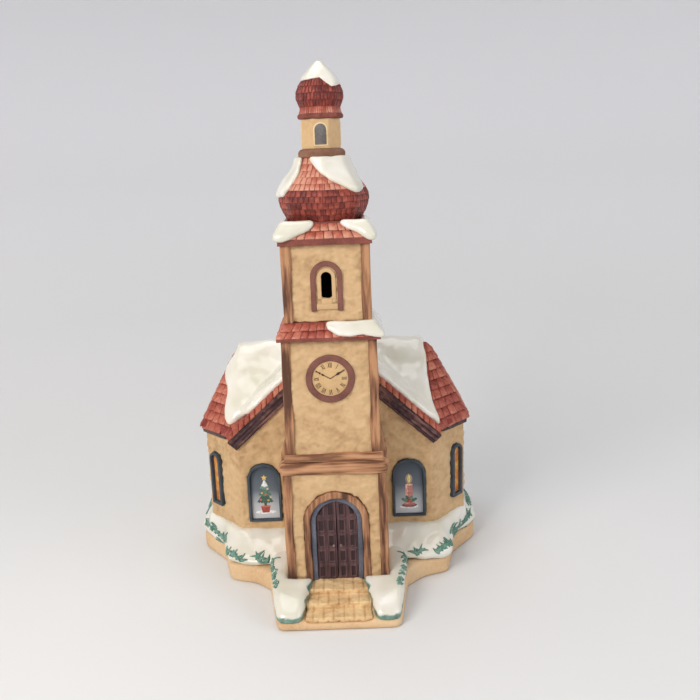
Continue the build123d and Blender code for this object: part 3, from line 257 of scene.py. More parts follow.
amber_film = stained_bisque("amber_film", "#E3B25E", "#CC7F45", "#9A5A34", blotch=3.2, relief=0.03, roughness=0.45)
ink_brown = stained_bisque(
    "dark_brown_paint", "#4A352B", "#3D2A22", "#2E1F1A", blotch=3.0, grit=0.5, relief=0.02, roughness=0.6
)
knob_brass = stained_bisque(
    "dull_brass_paint", "#94807A", "#806C66", "#65544F", blotch=2.0, grit=0.5, relief=0.02, roughness=0.45
)
# The belfry's inside is painted near black, a painted shade for the dark hollow behind the slots
painted_belfry_shade = stained_bisque("painted_shade_inside_belfry", "#231C18", "#1C1613", "#14100E", blotch=9.0)
numeral_brown = stained_bisque(
    "brown_numeral_paint", "#7A5E46", "#69503B", "#54402F", blotch=3.0, grit=0.5, relief=0.02, roughness=0.6
)
print("bisque stains made")

# %% [markdown]
# ## Timber
# The boards are clay too, but tooled like split timber: long grooves run with the length of each board and the
# stain has settled in them. Stretching a noise along one axis gives that grain.

# %% Timber stains
grain_width, grain_stretch, stain_patch = 1.1, 12, 12
wash_share, groove_stain_and_shade = 0.35, 0.16


def hewn_timber(name, light, middle, dark, along, turn=(0, 0, 0)):
    """Matte stain, dark in tool-cut grooves that run along one axis and where the relief marks hollows or painted
    shade, on boards that may be turned.
    """
    material, tree, shader = start_material(name, 0.75, 0.3)
    place = add_node(tree, "TexCoord", out="Object")
    stretch = [1 / (grain_width * mm)] * 3
    stretch["XYZ".index(along)] /= grain_stretch
    turned = add_node(tree, "Mapping", {"Vector": place, "Rotation": turn})
    grain_place = add_node(tree, "Mapping", {"Vector": turned, "Scale": stretch})
    grain = add_node(tree, "TexNoise", {"Vector": grain_place, "Scale": 1.0, "Detail": 4.0})
    wash = add_node(tree, "TexNoise", {"Vector": place, "Scale": 1 / (stain_patch * mm), "Detail": 3.0})
    tone = add_node(tree, "Mix", {"Factor": wash_share, "A": grain, "B": wash})
    # The relief attribute darkens tool-cut hollows where stain settles; on the door leaves it also holds painted shade
    # in the panels
    tooling_and_shade = add_node(tree, "Attribute", out="Fac", attribute_name="relief")
    stain_with_shade = add_node(tree, "Math", {0: tooling_and_shade, 1: groove_stain_and_shade, 2: tone}, operation="MULTIPLY_ADD")
    set_inputs(tree, shader, {
        "Base Color": add_node(tree, "ValToRGB", {"Fac": stain_with_shade}, stops=[(0.36, dark), (0.5, middle), (0.65, light)]),
        "Normal": add_node(tree, "Bump", {"Height": grain, "Strength": 0.7, "Distance": 0.3 * mm}),
    })
    return material


board_timber = hewn_timber("brown_stained_boards", "#B58762", "#8F6449", "#583A2B", "Z")
log_timber = hewn_timber("tan_stained_logs", "#BB8C68", "#A07353", "#75503B", "X")
door_timber = hewn_timber("dark_stained_door", "#6B4F4E", "#553E3F", "#3B2A2C", "Z")
rake_turn, rake_stains = 0.728, ("#85615A", "#4F383A", "#33242A")
left_rake_timber = hewn_timber("dark_stained_left_rake", *rake_stains, "X", (0, rake_turn, 0))
right_rake_timber = hewn_timber("dark_stained_right_rake", *rake_stains, "X", (0, -rake_turn, 0))
eave_timber = hewn_timber("dark_stained_eaves", "#6A5552", "#524242", "#3A2E30", "X")
print("timber stains made")

# %% [markdown]
# ## Roof tiles and snow
# Each tile carries two numbers of its own: a random tone, and how far down the tile a point is. The stain is
# wiped paler towards the lower edge, where a brush catches. Snow is a thick clear glaze over white slip, and a
# third number tells it how close the clay below is.

# %% Tile stain and snow glaze
wipe_mark, stain_cloud, down_weight = 1.6, 16, 0.22
tile_stain, tree, shader = start_material("red_stained_tiles", 0.5, 0.4)
place = add_node(tree, "TexCoord", out="Object")
tone = add_node(tree, "Attribute", out="Fac", attribute_name="tile_tone")
down = add_node(tree, "Attribute", out="Fac", attribute_name="tile_down")
wipe = add_node(tree, "TexNoise", {"Vector": place, "Scale": 1 / (wipe_mark * mm), "Detail": 3.0})
slow = add_node(tree, "TexNoise", {"Vector": place, "Scale": 1 / (stain_cloud * mm), "Detail": 2.0})
level = add_node(tree, "Math", {0: down, 1: down_weight}, operation="MULTIPLY")
for value, weight in ((wipe, 0.5), (slow, 0.4), (tone, 0.22)):
    level = add_node(tree, "Math", {0: value, 1: weight, 2: level}, operation="MULTIPLY_ADD")
reds = [(0.36, "#5A1F1A"), (0.56, "#8C3B2E"), (0.77, "#AC5B46"), (1.0, "#C68A72")]
set_inputs(tree, shader, {
    "Base Color": add_node(tree, "ValToRGB", {"Fac": level}, stops=reds),
    "Normal": add_node(tree, "Bump", {"Height": wipe, "Strength": 0.5, "Distance": 0.2 * mm}),
})

pool_size, brush_mark, ripple_size = 15, 3.2, 5
brush_reach, edge_start, edge_end = 1.8, 0.65, 1.15


def snow_glaze(name, rim=None):
    """Glossy ivory glaze; where the clay below is closer than a rim in mm, it is brushed fir green."""
    material, tree, shader = start_material(name, 0.3)
    place = add_node(tree, "TexCoord", out="Object")
    pool = add_node(tree, "TexNoise", {"Vector": place, "Scale": 1 / (pool_size * mm), "Detail": 2.0})
    colour = add_node(tree, "ValToRGB", {"Fac": pool}, stops=[(0.3, "#CFCDBA"), (0.5, "#DDD9CB"), (0.7, "#E6E3DA")])
    if rim is not None:
        brush = add_node(tree, "TexNoise", {"Vector": place, "Scale": 1 / (brush_mark * mm), "Detail": 2.0})
        height = add_node(tree, "Attribute", out="Fac", attribute_name="rim")
        ragged = add_node(tree, "Math", {0: brush, 1: brush_reach, 2: height}, operation="MULTIPLY_ADD")
        edge = add_node(tree, "MapRange", {
            "Value": ragged, "From Min": rim + edge_start, "From Max": rim + edge_end, "To Min": 1.0, "To Max": 0.0,
        })
        greens = add_node(tree, "ValToRGB", {"Fac": brush}, stops=[(0.35, "#42665A"), (0.65, "#74998A")])
        colour = add_node(tree, "Mix", {0: edge, 6: colour, 7: greens}, 2, data_type="RGBA")
    ripple = add_node(tree, "TexNoise", {"Vector": place, "Scale": 1 / (ripple_size * mm), "Detail": 1.0})
    set_inputs(tree, shader, {
        "Base Color": colour, "Coat Weight": 0.9, "Coat Roughness": 0.05,
        "Normal": add_node(tree, "Bump", {"Height": ripple, "Strength": 0.3, "Distance": 0.6 * mm}),
    })
    return material


roof_snow_glaze = snow_glaze("ivory_snow_glaze")
bank_snow_glaze = snow_glaze("ivory_snow_glaze_green_edge", 0.3)
mound_snow_glaze = snow_glaze("ivory_mound_glaze_green_edge", 1.9)
sprig_green = stained_bisque(
    "fir_green_glaze", "#84A699", "#5E8777", "#3E6557", blotch=3.0, grit=0.8, relief=0.05, roughness=0.35
)
print("tile stain and glazes made")

# %% [markdown]
# ## Cast walls
# A slip-cast wall has no sharp edge: clay softens every corner. Remeshing a copy of the CAD walls in small voxels
# and smoothing it does the same. Then each point moves along its normal by a noise, which is the trowelled stucco.

# %% Cast pieces


def merged(*nodes):
    """A bmesh copy of CAD nodes, with their loose triangles joined up."""
    shape = bmesh.new()
    for node in nodes:
        shape.from_mesh(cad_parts[node].data)
    bmesh.ops.remove_doubles(shape, verts=shape.verts, dist=0.001 * mm)
    return shape


def add_piece(name, shape, material, body, nodes=(), crease=None):
    """A finished piece from a bmesh, on a body, for CAD nodes; edges over a crease in degrees stay sharp."""
    mesh = bpy.data.meshes.new(name)
    shape.to_mesh(mesh)
    shape.free()
    mesh.materials.append(material)
    for face in mesh.polygons:
        face.use_smooth = True
    if crease:
        mesh.set_sharp_from_angle(angle=math.radians(crease))
    piece = bpy.data.objects.new(name, mesh)
    bpy.context.scene.collection.objects.link(piece)
    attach(piece, body)
    if nodes:
        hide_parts(*nodes)
    print(name, len(mesh.polygons), "faces")
    return piece


def remeshed(shape, voxel):
    """The shape as an even skin of small quads; voxel size in mm."""
    mesh = bpy.data.meshes.new("casting")
    shape.to_mesh(mesh)
    shape.free()
    holder = bpy.data.objects.new("casting", mesh)
    bpy.context.scene.collection.objects.link(holder)
    modifier = holder.modifiers.new("skin", "REMESH")
    modifier.mode = "VOXEL"
    modifier.voxel_size = voxel * mm
    skin = bmesh.new()
    skin.from_object(holder, bpy.context.evaluated_depsgraph_get())
    bpy.data.objects.remove(holder)
    bpy.data.meshes.remove(mesh)
    return skin


def soften(shape, rounds):
    """Rounds a skin off, as wet clay does."""
    for _ in range(rounds):
        bmesh.ops.smooth_vert(
            shape, verts=shape.verts, factor=0.5, use_axis_x=True, use_axis_y=True, use_axis_z=True
        )
    shape.normal_update()


usual_depth = 0.3  # one unit of relief, in mm


def carve(shape, grain, depth, seed, swell=0.0):
    """Moves points along their normals by a noise and notes the relief; grain is its size in mm along X, Y and Z."""
    relief = shape.verts.layers.float.get("relief") or shape.verts.layers.float.new("relief")
    offset = Vector((seed, seed * 2, seed * 3))
    for vert in shape.verts:
        where = Vector([c / mm / size for c, size in zip(vert.co, grain)]) + offset
        push = noise.noise(where)
        vert[relief] += push * depth / usual_depth
        vert.co += vert.normal * ((push * depth + swell) * mm)
    shape.normal_update()


def inside_box(place):
    """The nearest place inside the CAD box."""
    return [min(max(c, low), high) for c, low, high in zip(place, cad_low, cad_high)]


def cast(name, nodes, material, body, carvings, voxel, rounds, swell=0.0, reshape=None, plump=0.0):
    """A copy of CAD nodes, remeshed in voxels, softened in rounds and carved by (grain, depth) pairs, for them.

    Plump fattens it and joins what then overlaps, which fills valleys; reshape is a function run before carving.
    """
    shape = remeshed(merged(*nodes), voxel)
    soften(shape, rounds)
    if plump:
        carve(shape, (1, 1, 1), 0.0, 0, plump)
        shape = remeshed(shape, voxel)
        soften(shape, rounds)
    if reshape:
        reshape(shape)
    for index, (grain, depth) in enumerate(carvings):
        carve(shape, grain, depth, index + len(name), swell if index == 0 else 0.0)
    for vert in shape.verts:
        vert.co = inside_box(vert.co)
    return add_piece(name, shape, material, body, nodes)


# %% Stucco walls
axis_y, belfry_inside = -19.0, 14.3
trowel = [((3.8, 3.8, 2.8), 0.4), ((1.6, 1.6, 1.2), 0.3)]
nave_nodes = ["gable_walls", "back_wall", "left_end_walls", "right_end_walls"]
cast("nave_stucco", nave_nodes, stucco, "house", trowel, voxel=0.65, rounds=2)
for part in ("tower", "porch"):
    cast(f"{part}_stucco", [f"{part}_walls"], stucco, "house", trowel, voxel=0.55, rounds=2)
belfry = cast("belfry_stucco", ["belfry_walls"], stucco, "steeple", trowel, voxel=0.45, rounds=1)
belfry.data.materials.append(painted_belfry_shade)
# Faces inside the belfry get the painted shade; the outer faces stay stucco
for face in belfry.data.polygons:
    off_axis = max(abs(face.center.x), abs(face.center.y - axis_y * mm))
    face.material_index = 1 if off_axis < belfry_inside * mm else 0
cast(
    "lantern_stucco", ["lantern_drum"], stucco, "steeple", [((2.2, 2.2, 2.2), 0.08)], voxel=0.3,
    rounds=1,
)

# %% [markdown]
# ## Base, steps and snow banks
# The foot is plain clay with soft edges. The steps are worn: their treads dip and their nosings wander. Stones in
# the steps are cut as shallow joints. The snow banks are fat glaze, so they get many rounds of smoothing and a slow,
# deep swell, and they are heaped up a little against the walls.

# %% Base and steps
cast("base_casting", ["base_plinth"], base_bisque, "house", [((16, 16, 9), 0.3)], voxel=0.9, rounds=5)
first_tread, riser, stone, joint = 4.8, 2.1, 3.9, 0.3
# Joints are stained dark; the lowest share of each riser's front is darkened as painted shade
joint_stain, riser_foot_shade, shaded_riser_share, front_facing = 1.2, 1.4, 0.35, -0.4


def lay_stones(shape):
    """Cuts joints between stones across the steps, and darkens the foot of each riser as painted shade where it meets
    the tread.
    """
    relief = shape.verts.layers.float.new("relief")
    for vert in shape.verts:
        step = (vert.co.z / mm - first_tread) / riser
        shift = 0.5 if round(step) % 2 else 0.0
        to_joint = abs((vert.co.x / mm / stone + shift) % 1 - 0.5) * stone
        if to_joint < joint:
            vert.co -= vert.normal * joint * mm
            vert[relief] = -joint_stain
        # Painted shade where the riser meets the tread below it
        if vert.normal.y < front_facing and step % 1 < shaded_riser_share:
            vert[relief] -= riser_foot_shade


worn = [((5.0, 3.0, 2.5), 0.4), ((1.3, 1.3, 1.3), 0.2)]
cast(
    "worn_steps", ["front_steps"], step_bisque, "house", worn, voxel=0.36, rounds=1,
    reshape=lay_stones,
)

# %% Snow banks and mounds
heap, heap_foot, heap_rise = 2.3, 10, 5


def heap_up(shape):
    """Heaps the snow against the walls, where it is highest."""
    for vert in shape.verts:
        near_wall = min(1, max(0, (vert.co.z / mm - heap_foot) / heap_rise))
        vert.co.z += max(0, vert.normal.z) * near_wall * heap * mm
    soften(shape, 2)


def note_rim(piece, *nodes):
    """Notes how far each point of a piece is from CAD nodes, in mm."""
    clay = merged(*nodes)
    surface = BVHTree.FromBMesh(clay)
    clay.free()
    rim = piece.data.attributes.new("rim", "FLOAT", "POINT")
    for vert, entry in zip(piece.data.vertices, rim.data):
        entry.value = surface.find_nearest(vert.co)[3] / mm


drift = [((12, 12, 9), 1.3), ((5, 5, 5), 0.4)]
bank = cast(
    "snow_bank", ["ground_snow"], bank_snow_glaze, "house", drift, voxel=0.6, rounds=8, swell=0.6,
    reshape=heap_up,
)
note_rim(bank, "base_plinth")
fat = [((9, 9, 7), 0.5)]
for side in ("left", "right"):
    node = f"{side}_step_mound"
    mound = cast(
        f"{side}_snow_mound", [node], mound_snow_glaze, "house", fat, voxel=0.45, rounds=8, swell=0.3
    )
    note_rim(mound, "base_plinth", "front_steps")

# %% [markdown]
# ## Timber trim
# Split boards bow and their edges wander, and the logs over the porch are hewn with an axe. A noise that is long
# in the grain's direction and short across it gives both.

# %% Boards, logs and mouldings
upright = [((3.0, 3.0, 16.0), 0.45), ((0.9, 0.9, 11.0), 0.22)]
for part, body in (("tower", "house"), ("porch", "house"), ("belfry", "steeple")):
    name, node = f"{part}_corner_boards", f"{part}_boards"
    cast(name, [node], board_timber, body, upright, voxel=0.3, rounds=2, swell=0.1)
lengthwise = [((14.0, 3.0, 2.4), 0.6), ((9.0, 1.0, 0.9), 0.3)]
cast("lower_log", ["lower_ledge"], log_timber, "house", lengthwise, voxel=0.4, rounds=3, swell=0.1)
cast("upper_log", ["upper_ledge"], log_timber, "house", lengthwise, voxel=0.3, rounds=3, swell=0.15)
cast(
    "side_shoulders", ["tower_shoulders"], board_timber, "house", [((3, 12, 5), 0.4)], voxel=0.4,
    rounds=3,
)
cast(
    "lantern_ring_moulding", ["lantern_ring"], ring_brown, "steeple", [((3, 3, 3), 0.1)], voxel=0.3,
    rounds=4,
)
cast("eaves_board", ["eaves_band"], eave_timber, "house", [((4, 4, 2), 0.15)], voxel=0.4, rounds=1)
rake_grain = [((1.6, 4, 1.6), 0.18)]
for side, timber in (("left", left_rake_timber), ("right", right_rake_timber)):
    cast(f"{side}_rake", [f"{side}_barge_board"], timber, "house", rake_grain, voxel=0.28, rounds=1)

# %% [markdown]
# ## Door, clock and window mouldings
# The door and the clock's ring are cast as the walls are. The rest was cut crisply in the mould, so a small bevel on
# the CAD edges is enough. The bevel runs on a merged copy, because a CAD node's own triangles share no edges.

# %% Bevelled pieces


def round_edges(shape, turn, width, segments):
    """Rounds the edges where the surface turns by more than an angle in degrees; width in mm."""
    sharp = [edge for edge in shape.edges if edge.calc_face_angle(0) > math.radians(turn)]
    bmesh.ops.bevel(
        shape, geom=sharp, offset=width * mm, segments=segments, profile=0.5, affect="EDGES", material=-1,
        clamp_overlap=True,
    )


def bevelled(name, nodes, material, body, width, segments=2):
    """A merged copy of CAD nodes with its sharp edges rounded; width in mm."""
    shape = merged(*nodes)
    bmesh.ops.dissolve_limit(shape, angle_limit=math.radians(2), verts=shape.verts, edges=shape.edges)
    round_edges(shape, turn=35, width=width, segments=segments)
    return add_piece(name, shape, material, body, nodes, crease=40)


# %% Door
cast("door_arch", ["door_surround"], board_timber, "house", [((3, 3, 7), 0.25)], voxel=0.3, rounds=2)
cast("door_lining", ["door_reveal"], reveal_grey, "house", [((3, 3, 6), 0.1)], voxel=0.3, rounds=1)
# The gouged panels are darkened by painted shade
panel_columns, panel_rows, panel_depth, panel_shade, leaf_front = 2, 5, 0.5, 1.3, 0.7
panel_left, panel_right, panel_foot, panel_top = 0.28, 0.7, 0.2, 0.82


def gouge_panels(shape):
    """Gouges columns and rows of panels into the front of a door leaf and darkens them as painted shade."""
    relief = shape.verts.layers.float.new("relief")
    low = [min(vert.co[axis] for vert in shape.verts) for axis in range(3)]
    high = [max(vert.co[axis] for vert in shape.verts) for axis in range(3)]
    column, row = (high[0] - low[0]) / panel_columns, (high[2] - low[2]) / panel_rows
    for vert in shape.verts:
        across = (vert.co.x - low[0]) / column % 1
        up = (vert.co.z - low[2]) / row % 1
        # Points in a panel are pushed back and darkened as painted shade
        if vert.co.y < low[1] + leaf_front * mm and panel_left < across < panel_right and panel_foot < up < panel_top:
            vert.co.y += panel_depth * mm
            vert[relief] = -panel_shade


leaf_grain = [((1.2, 2, 9), 0.16)]
for side in ("left", "right"):
    name, node = f"{side}_leaf", f"{side}_door_leaf"
    cast(name, [node], door_timber, "house", leaf_grain, voxel=0.17, rounds=1, reshape=gouge_panels)
knob_x, knob_z, knob_share = 1.45, 24, 0.7
knobs = bevelled("knobs", ["door_knobs"], knob_brass, "house", width=0.1)
for vert in knobs.data.vertices:
    middle = Vector((math.copysign(knob_x * mm, vert.co.x), vert.co.y, knob_z * mm))
    vert.co = middle.lerp(vert.co, knob_share)

# %% Clock, belfry and end windows
cast(
    "clock_moulding", ["clock_ring"], moulding_brown, "house", [((3, 3, 3), 0.08)], voxel=0.25,
    rounds=2,
)
bevelled("clock_face", ["clock_dial"], dial_cream, "house", width=0.12)
bevelled(
    "belfry_arch_mouldings", ["belfry_arches"], moulding_brown, "steeple", width=0.25, segments=3
)
bevelled("belfry_stepped_sills", ["belfry_sills"], stucco, "steeple", width=0.2, segments=3)
side_frames = bevelled(
    "side_frames", ["side_window_frames"], window_slate, "house", width=0.25, segments=3
)
side_panes = bevelled("side_panes", ["side_window_panes"], amber_film, "house", width=0.1)
ridge_y, proud = 20.75, 0.5
for piece in (side_frames, side_panes):
    for vert in piece.data.vertices:
        vert.co.x += math.copysign(proud * mm, vert.co.x)
        vert.co.y += math.copysign(proud * mm, vert.co.y - ridge_y * mm)

# %% [markdown]
# ## Roof tiles
# Real tiles are laid in courses, each lapping the one below, with joints staggered from row to row. Every roof here
# is made of facets, so one helper divides a strip between a lower and an upper edge into tiles. Each tile is a
# loose quad, or a few in a row where the roof curves, with a small tilt of its own. Then one extrusion and one
# bevel give all of them their body.

# %% Tile helper
tile_gap, cut_wander, corner_wander, tone_lift = 0.22, 0.1, 0.06, 0.2
lift_range, drop_range = (-0.04, 0.14), (-0.1, 0.16)
chance = random.Random(7)


def lay_course(shape, rings, width, row, floor=None, wander=1.0, tint=0.0):
    """Lays a course of tiles over a facet, in mm.

    The facet is given by its left and right corner at each level from the eave up, so a tile can follow a curve.
    Tiles below the floor are left out, wander is how unevenly they lie and tint makes them paler.
    """
    tone = shape.verts.layers.float["tile_tone"]
    down = shape.verts.layers.float["tile_down"]
    low_a, low_b = rings[0]
    high_a, high_b = rings[-1]
    length = (low_b - low_a).length
    count = max(1, round(length / width))
    cuts = [(i + (0.5 if row % 2 else 0.0)) / count for i in range(count + 1)]
    inner = [c for c in cuts if 0.05 < c < 0.95]
    cuts = [0.0] + [c + chance.uniform(-cut_wander, cut_wander) * wander / count for c in inner] + [1.0]
    normal = (low_b - low_a).cross(high_a - low_a).normalized()
    slope = ((high_a + high_b) - (low_a + low_b)).normalized()
    for start, end in zip(cuts, cuts[1:]):
        middle = (low_a.lerp(low_b, (start + end) / 2) + high_a.lerp(high_b, (start + end) / 2)) / 2
        if floor and middle.z < floor(middle.x):
            continue
        gap = min(tile_gap / max(length, 0.1), (end - start) * 0.2)
        near, far = start + gap / 2, end - gap / 2
        own_tone = chance.random() + tint
        lift = chance.uniform(*lift_range) * wander
        drop = chance.uniform(*drop_range) * wander
        pairs = []
        for level, (left, right) in enumerate(rings):
            share = 1 - level / (len(rings) - 1)
            pair = []
            for along in (near, far):
                slip = chance.uniform(-corner_wander, corner_wander) * wander
                uneven = slope * (slip - drop * share) + normal * lift * share
                vert = shape.verts.new((left.lerp(right, along) + uneven) * mm)
                vert[tone] = own_tone
                vert[down] = share
                pair.append(vert)
            pairs.append(pair)
        for lower, upper in zip(pairs, pairs[1:]):
            shape.faces.new((lower[0], lower[1], upper[1], upper[0]))


def start_tiles():
    """An empty bmesh with the two numbers each tile carries."""
    shape = bmesh.new()
    shape.verts.layers.float.new("tile_tone")
    shape.verts.layers.float.new("tile_down")
    return shape


def drape(shape, body, clearance, lift):
    """Lays loose tiles on a piece: each point moves to the nearest place on it, the lower edges a little higher."""
    mesh = body.data
    surface = BVHTree.FromPolygons([vert.co for vert in mesh.vertices], [face.vertices for face in mesh.polygons])
    tone = shape.verts.layers.float["tile_tone"]
    down = shape.verts.layers.float["tile_down"]
    for vert in shape.verts:
        spot, normal, _, _ = surface.find_nearest(vert.co)
        vert.co = spot + normal * ((clearance + (lift + tone_lift * vert[tone]) * vert[down]) * mm)


def thicken(shape, faces):
    """Extrudes faces, keeping them too, and gives the new points to move."""
    grown = bmesh.ops.extrude_face_region(shape, geom=faces, use_keep_orig=True)["geom"]
    return [item for item in grown if isinstance(item, bmesh.types.BMVert)]


def finish_tiles(name, shape, body, thickness, soft):
    """Gives the laid tiles their thickness and rounded edges, in mm."""
    shape.normal_update()
    for vert in thicken(shape, shape.faces[:]):
        vert.co -= vert.normal * thickness * mm
    bmesh.ops.recalc_face_normals(shape, faces=shape.faces)
    round_edges(shape, turn=40, width=soft, segments=1)
    shape.normal_update()
    add_piece(name, shape, tile_stain, body)


# %% [markdown]
# ## Nave roof
# The hipped roof has eight facets round its plan. Its sections repeat the CAD rule: an octagon that shrinks from
# the eaves to the ridge. The cross gable runs out to the front, and its tile ends show above the rake boards. Hips
# and eaves are soft in clay, so the tiles are draped over a softened roof body.

# %% Nave roof tiles
gable_y, gable_half, corner_cut, ridge_half = -8.5, 40.5, 15.5, 41.0
eave_level, roof_rise, overhang, lap, courses, strip = 60.0, 32.0, 1.8, 0.7, 9, 0.04
slant = math.sqrt(2) - 1


def roof_corners(share, offset):
    """The eight corners of the roof's section at a share of its rise, in mm."""
    front_half = (gable_half + overhang * slant) * (1 - share) + ridge_half * share + offset * slant
    end_half = (gable_half + corner_cut + overhang) * (1 - share) + ridge_half * share + offset
    front_run = (ridge_y - gable_y + overhang) * (1 - share) + offset
    end_run = (ridge_y - gable_y - corner_cut + overhang * slant) * (1 - share) + offset * slant
    half = [(front_half, -front_run), (end_half, -end_run), (end_half, end_run), (front_half, front_run)]
    ring = half + [(-x, y) for x, y in reversed(half)]
    return [Vector((x, ridge_y + y, eave_level + roof_rise * share)) for x, y in ring]


rake_x, rake_foot, tower_half, gable_tile, gable_front, gable_back = 44.5, 58.0, 17.0, 2.0, -10.5, 3.0
rake_top_share, front_facet = 0.725, 7
rake_tan = (eave_level + rake_top_share * roof_rise - rake_foot) / (rake_x - tower_half)
rake_angle = math.atan(rake_tan)


def over_gable(x):
    """Height of the cross gable's tiles at a distance from the middle."""
    return rake_foot + (rake_x - abs(x)) * rake_tan + gable_tile + 2 * lap


roof_body = cast("roof_body", ["nave_roof"], tile_joint, "house", [], voxel=0.8, rounds=8)
nave_tiles = start_tiles()
for course in range(courses):
    low_ring = roof_corners(course * (1 - strip) / courses, lap)
    high_ring = roof_corners((course + 1) * (1 - strip) / courses, 0)
    for side in range(8):
        after = (side + 1) % 8
        facet = (low_ring[side], low_ring[after]), (high_ring[side], high_ring[after])
        floor = over_gable if side == front_facet else None
        lay_course(nave_tiles, facet, width=4.4, row=course, floor=floor)

pitch = (rake_x - tower_half) / courses
for side in (-1, 1):
    for course in range(courses):
        x = rake_x - course * pitch
        z = rake_foot + (rake_x - x) * rake_tan + gable_tile
        low_x, low_z = x + lap * math.sin(rake_angle), z + lap * math.cos(rake_angle)
        high_x, high_z = x - pitch, z + pitch * rake_tan
        ends = (gable_front, gable_back) if side > 0 else (gable_back, gable_front)
        low = [Vector((side * low_x, y, low_z)) for y in ends]
        high = [Vector((side * high_x, y, high_z)) for y in ends]
        lay_course(nave_tiles, (low, high), width=4.6, row=course)
drape(nave_tiles, roof_body, clearance=0.2, lift=0.5)
finish_tiles("nave_tiles", nave_tiles, "house", thickness=0.6, soft=0.28)

# %% Tile ends over the rake boards
verge = start_tiles()
verge_x, verge_y, verge_up = rake_x - 0.3, gable_front - 0.25, 0.15
verge_rise = Vector((0, 0.1, gable_tile + 1.3))
for side in (-1, 1):
    ends = (verge_x, tower_half) if side < 0 else (tower_half, verge_x)
    low = [Vector((side * x, verge_y, rake_foot + (rake_x - x) * rake_tan + verge_up)) for x in ends]
    high = [corner + verge_rise for corner in low]
    lay_course(verge, (low, high), width=3.3, row=0, tint=0.6)
finish_tiles("verge_tiles", verge, "house", thickness=0.8, soft=0.3)

# %% [markdown]
# ## Steeple roofs
# The skirt and the pent roof are square hips of two courses. The two onions are eight-sided, and a cosine that is
# full at the belly and drawn in at the neck gives the curve of the CAD domes, here a little fuller.

# %% Skirt and pent roof tiles


def ring_corners(sides, radius, level, first=0):
    """Corners of a regular ring round the tower's axis, the first at an angle in degrees; mm."""
    turns = [math.radians(first + 360 * i / sides) for i in range(sides)]
    return [Vector((radius * math.cos(t), axis_y + radius * math.sin(t), level)) for t in turns]


def lay_ring(shape, rings, width, row, **look):
    """One course right round, through two or more rings of corners from its foot up."""
    for side in range(len(rings[0])):
        after = (side + 1) % len(rings[0])
        lay_course(shape, [(ring[side], ring[after]) for ring in rings], width, row, **look)


def hip_tiles(name, half, top_half, foot, rise, width, tint):
    """Tiles of a square hip in two courses, as the CAD roof steps; their feet stand out and their heads tuck in."""
    foot_out, head_in = 0.3, 0.2
    shape = start_tiles()
    run = (half - top_half) / 2
    for course in range(2):
        foot_half = half - course * run
        low_ring = ring_corners(4, (foot_half + foot_out) * math.sqrt(2), foot + course * rise / 2, -45)
        high_half = foot_half - run - head_in
        high_ring = ring_corners(4, high_half * math.sqrt(2), foot + (course + 1) * rise / 2, -45)
        lay_ring(shape, (low_ring, high_ring), width, course, tint=tint)
    finish_tiles(name, shape, "steeple", thickness=0.5, soft=0.2)


hip_tiles("skirt_tiles", half=19.15, top_half=15.9, foot=107.65, rise=5.1, width=3.1, tint=0.4)
hip_tiles("pent_tiles", half=17.0, top_half=14.4, foot=143.45, rise=5.2, width=3.3, tint=0.9)

# %% Dome tiles


def onion_radius(share, foot, widest, neck, belly, pointed):
    """Radius of an onion dome at a share of its height, by the CAD model's rule."""
    if share < belly:
        return widest - (widest - foot) * (1 - math.cos(math.pi / 2 * (belly - share) / belly))
    above = (share - belly) / (1 - belly)
    blend = math.cos(math.pi / 2 * above) if pointed else (1 + math.cos(math.pi * above)) / 2
    return neck + (widest - neck) * blend


def ringed_piece(name, profile, material, node):
    """An eight-sided roof piece of the steeple through (radius, level) rings in mm, standing for a CAD node."""
    shape = spun(profile, 8, axis_y)
    bmesh.ops.holes_fill(shape, edges=[edge for edge in shape.edges if edge.is_boundary], sides=0)
    bmesh.ops.recalc_face_normals(shape, faces=shape.faces)
    add_piece(name, shape, material, "steeple", [node], crease=35)


def onion_tiles(name, node, level, height, rows, width, pale, **curve):
    """A smooth core in the joint stain, and thin curved tiles over it; above the share pale the rows are paler, a
    painted light, and below it darker, a painted shade.
    """
    core_in, foot_out, taper, tile_rings, painted_light_tint, painted_shade_tint = 0.1, 0.2, 0.15, 4, 1.1, -0.85
    shares = [step / (tile_rings * rows) for step in range(tile_rings * rows + 1)]
    profile = [(onion_radius(share, **curve) - core_in, level + height * share) for share in shares]
    ringed_piece(name + "_core", profile, tile_joint, node)
    shape = start_tiles()
    for row in range(rows):
        rings = []
        for ring in range(tile_rings):
            up = ring / (tile_rings - 1)
            share = (row + up) / rows
            radius = onion_radius(share, **curve) + foot_out - taper * up
            rings.append(ring_corners(8, radius, level + height * share))
        # Upper rows are painted paler as painted light, the belly's rows darker as painted shade
        tint = painted_light_tint if (row + 0.5) / rows > pale else painted_shade_tint
        lay_ring(shape, rings, width, row, wander=0.25, tint=tint)
    finish_tiles(name, shape, "steeple", thickness=0.3, soft=0.08)


onion_tiles(
    "main_dome_tiles", "main_dome", level=149.05, height=22.4, rows=10, width=2.1, pale=0.5,
    foot=13.9, widest=16.85, neck=8.5, belly=8.0 / 22.4, pointed=False,
)
onion_tiles(
    "small_dome_tiles", "small_dome", level=189.05, height=14.6, rows=6, width=1.25, pale=0.6,
    foot=7.3, widest=8.65, neck=1.2, belly=4.0 / 14.6, pointed=True,
)

